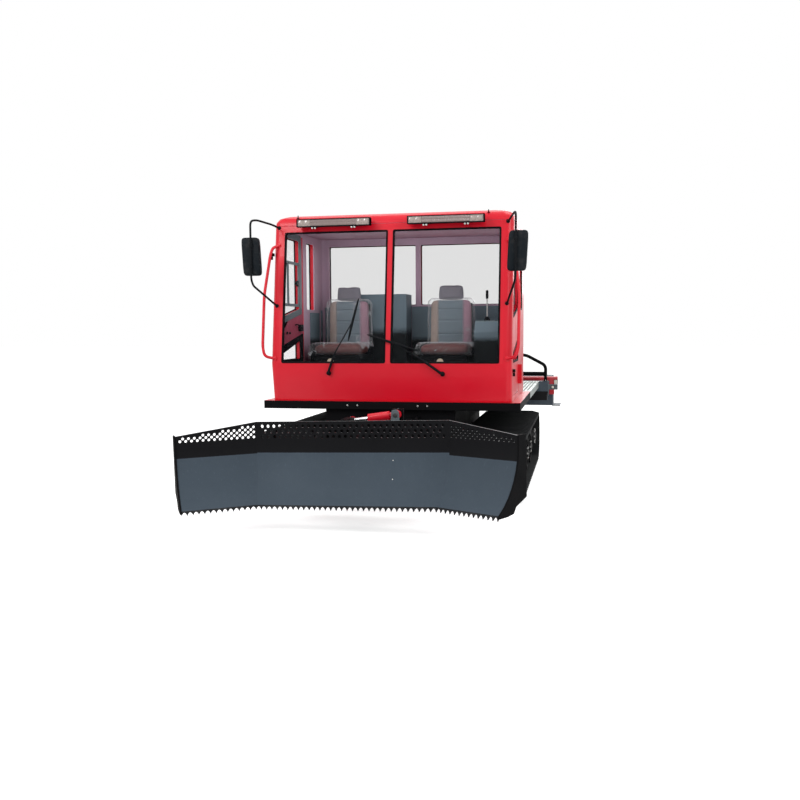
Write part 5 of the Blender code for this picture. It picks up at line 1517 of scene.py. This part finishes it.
@dataclass
class Details:
    """Wheel hubs, door hinges, the tilt cylinder's bracket, and the rear deck's tread lozenges."""
    wheel_x: float = 1.13
    sprocket: tuple[float, float] = (1.209, 0.281)
    lozenge: tuple[float, float, float] = (0.030, 0.0085, 0.0018)
    lozenge_pitch: float = 0.036

    def hubs(self, side: int, name: str) -> None:
        """A cap and a circle of bolts on each wheel and on the sprocket."""
        caps, bolts = Shape(), Shape()
        rows = [(y, z, 0.036, 0.058, 6) for y, z, _ in TRACK_WHEELS]
        rows.append((*self.sprocket, 0.042, 0.075, 8))
        for y, z, cap, circle, count in rows:
            x = side * (self.wheel_x if count == 6 else 1.145)
            caps.lathe((x - side * 0.004, y, z), (side, 0, 0), [(0, cap), (0.014, cap), (0.018, cap * 0.7)], 28)
            for angle in np.linspace(0, 2 * pi, count, endpoint=False):
                bolts.lathe((x - side * 0.004, y + circle * cos(angle), z + circle * sin(angle)), (side, 0, 0),
                            [(0, 0.009), (0.010, 0.009), (0.012, 0.006)], 6)
        caps.object(f"hub_caps_{name}", CAST, Body.MACHINE)
        bolts.object(f"hub_bolts_{name}", ZINC, Body.MACHINE)

    def lozenges(self) -> None:
        """Raised lozenges over the rear deck, turned alternately, as one low shape.

        The lattice points alternate like a chessboard between the two diagonal directions.
        """
        step = self.lozenge_pitch
        x, y = np.meshgrid(np.arange(-1.12, 1.121, step), np.arange(0.43, 2.0, step))
        turn = np.where((np.indices(x.shape).sum(0) % 2) == 0, 1.0, -1.0)
        under = (np.abs(x) < 0.75) & (y > 0.60) & (y < 1.80)
        filler = (x - 0.95) ** 2 + (y - 1.25) ** 2 < 0.08 ** 2
        keep = ~(under | filler)
        x, y, turn = x[keep], y[keep], turn[keep]
        long, wide, high = self.lozenge
        base = np.array([(-long / 2, 0.0), (0.0, -wide / 2), (long / 2, 0.0), (0.0, wide / 2)])
        shape = Shape()
        rings = []
        for scale, z in ((1.0, 0.8365), (1.0, 0.8381), (0.62, 0.8381 + high)):
            flat = base * scale
            px = x[:, None] + (flat[:, 0] - turn[:, None] * flat[:, 1]) * cos(pi / 4)
            py = y[:, None] + (turn[:, None] * flat[:, 0] + flat[:, 1]) * cos(pi / 4)
            rings.append(np.stack([px, py, np.full_like(px, z)], -1))
        stack = np.stack(rings, 1)
        number = len(x)
        faces = grid_faces(3, 4, False, True) + [[3, 2, 1, 0], [8, 9, 10, 11]]
        offsets = np.arange(number) * 12
        every = [[i + int(o) for i in face] for o in offsets for face in faces]
        shape.add(stack, every)
        shape.object("tread_lozenges", PLATE, Body.MACHINE)

    def hinges(self, side: int, name: str, body: Body) -> None:
        """Two hinge barrels at the door's front edge."""
        shape = Shape()
        for z in (1.06, 2.10):
            for low in (0.0, 0.032):
                shape.lathe((side * 1.087, -1.0, z + low), (0, 0, 1),
                            [(0, 0.009), (0.001, 0.010), (0.029, 0.010), (0.030, 0.009)], 16)
            low, high = sorted((side * 1.078, side * 1.096))
            shape.box((low, -0.998, z + 0.034), (high, -0.950, z + 0.060))
        shape.object(f"door_hinges_{name}", BLACK, body, 0.001)

    def tilt_bracket(self) -> None:
        """Upright plates that carry the tilt cylinder's fixed end, with the pin's head."""
        line = [(0.252, 0.780), (0.252, 0.846), (0.262, 0.862), (0.292, 0.868), (0.312, 0.855), (0.318, 0.780)]
        shape = Shape()
        for y in (-2.146, -2.058):
            outline = np.array([(x, y, z) for x, z in line])
            shape.prism(outline, (0, 0, 0), (0, 0.006, 0))
        shape.object("tilt_bracket_plates", FRAME_TRIM, Body.PUSH_FRAME, 0.002)
        pin = Shape().lathe((0.285, -2.146, 0.825), (0, -1, 0), [(0, 0.017), (0.006, 0.017), (0.010, 0.012)], 20)
        pin.object("tilt_pin_head", CAST, Body.PUSH_FRAME)

    def build(self) -> None:
        """Builds every small group."""
        for side, name, body in ((1, "left", Body.DOOR_LEFT), (-1, "right", Body.DOOR_RIGHT)):
            self.hubs(side, name)
            self.hinges(side, name, body)
        self.lozenges()
        self.tilt_bracket()


@dataclass
class Studio:
    """White floor, soft light and the camera."""
    camera_at: tuple = (1.678, -8.631, 1.478)
    yaw: float = 0.206
    pitch: float = -0.081
    roll: float = -0.006
    lens: float = 39.74
    reach: float = 60.0
    lamps: tuple = (("key", (-5.0, -7.0, 6.5), 4.0, 420.0), ("fill", (6.0, -5.0, 4.0), 4.0, 200.0),
                    ("top", (0.0, 0.5, 7.0), 5.0, 220.0), ("back", (2.0, 8.0, 4.0), 4.0, 150.0))
    cab_lamp: tuple = ((0.0, -0.86, 1.98), (1.75, 0.60), 7.0)

    def floor(self) -> None:
        """A white floor that glows a little for the camera alone."""
        data = bpy.data.meshes.new("floor")
        r = self.reach
        data.from_pydata([(-r, -r, -0.001), (r, -r, -0.001), (r, r, -0.001), (-r, r, -0.001)], [], [(0, 1, 2, 3)])
        floor = bpy.data.objects.new("floor", data)
        bpy.context.scene.collection.objects.link(floor)
        white = bpy.data.materials.new("floor_white")
        white.use_nodes = True
        shader = white.node_tree.nodes["Principled BSDF"]
        shader.inputs["Base Color"].default_value = (0.82, 0.82, 0.82, 1.0)
        shader.inputs["Roughness"].default_value = 0.9
        shader.inputs["Emission Color"].default_value = (1, 1, 1, 1)
        path = white.node_tree.nodes.new("ShaderNodeLightPath")
        glow = math(white.node_tree, "MULTIPLY", path.outputs["Is Camera Ray"], 0.62)
        white.node_tree.links.new(glow, shader.inputs["Emission Strength"])
        data.materials.append(white)

    def world(self) -> None:
        """A white world, at full strength where it is seen directly, through glass or mirrored."""
        world = bpy.data.worlds.new("world")
        bpy.context.scene.world = world
        world.use_nodes = True
        tree = world.node_tree
        path = tree.nodes.new("ShaderNodeLightPath")
        seen = math(tree, "MAXIMUM", path.outputs["Is Camera Ray"], path.outputs["Is Transmission Ray"])
        seen = math(tree, "MAXIMUM", seen, path.outputs["Is Glossy Ray"])
        power = stretch(tree, seen, 0.0, 1.0, 0.55, 1.0)
        tree.links.new(power, tree.nodes["Background"].inputs["Strength"])
        tree.nodes["Background"].inputs["Color"].default_value = (1, 1, 1, 1)

    def light(self) -> None:
        """Broad area lamps, all turned to the machine's middle."""
        middle = Vector((0, 0, 1.1))
        for name, place, size, watts in self.lamps:
            lamp = bpy.data.lights.new(name, "AREA")
            lamp.size = size
            lamp.energy = watts
            obj = bpy.data.objects.new(name, lamp)
            obj.location = place
            obj.rotation_euler = (middle - Vector(place)).to_track_quat("-Z", "Y").to_euler()
            bpy.context.scene.collection.objects.link(obj)
        place, size, watts = self.cab_lamp
        lamp = bpy.data.lights.new("cab", "AREA")
        lamp.shape = "RECTANGLE"
        lamp.size, lamp.size_y = size
        lamp.energy = watts
        obj = bpy.data.objects.new("cab", lamp)
        obj.location = place
        obj.rotation_euler = Vector((0.0, 1.0, -0.1)).to_track_quat("-Z", "Y").to_euler()
        obj.visible_camera = obj.visible_glossy = False
        bpy.context.scene.collection.objects.link(obj)

    def eye(self) -> None:
        """The camera, turned by yaw, pitch and roll."""
        lens = bpy.data.cameras.new("camera")
        lens.lens = self.lens
        lens.sensor_width = 36.0
        eye = bpy.data.objects.new("camera", lens)
        ahead = Vector((-sin(self.yaw) * cos(self.pitch), cos(self.yaw) * cos(self.pitch), sin(self.pitch)))
        right = ahead.cross(Vector((0, 0, 1))).normalized()
        up = right.cross(ahead)
        tilted = right * cos(self.roll) + up * sin(self.roll)
        over = up * cos(self.roll) - right * sin(self.roll)
        turn = Matrix((tilted, over, -ahead)).transposed()
        eye.matrix_world = Matrix.Translation(self.camera_at) @ turn.to_4x4()
        bpy.context.scene.collection.objects.link(eye)
        bpy.context.scene.camera = eye

    def build(self) -> None:
        """Makes the floor, the world, the lamps and the camera."""
        bpy.context.scene.view_settings.view_transform = "Standard"
        self.floor()
        self.world()
        self.light()
        self.eye()


def main() -> None:
    """Builds every part in order."""
    logging.basicConfig(level=logging.INFO, format="%(message)s")
    for part in (Seats(), Studio(), CarriedNodes(), CabFront(), SideGlazing(), Lining(), Console(), Blade(), Rear(),
                 EngineBay(), Details()):
        log.info("building %s", type(part).__name__)
        part.build()


if __name__ == "__main__":
    main()
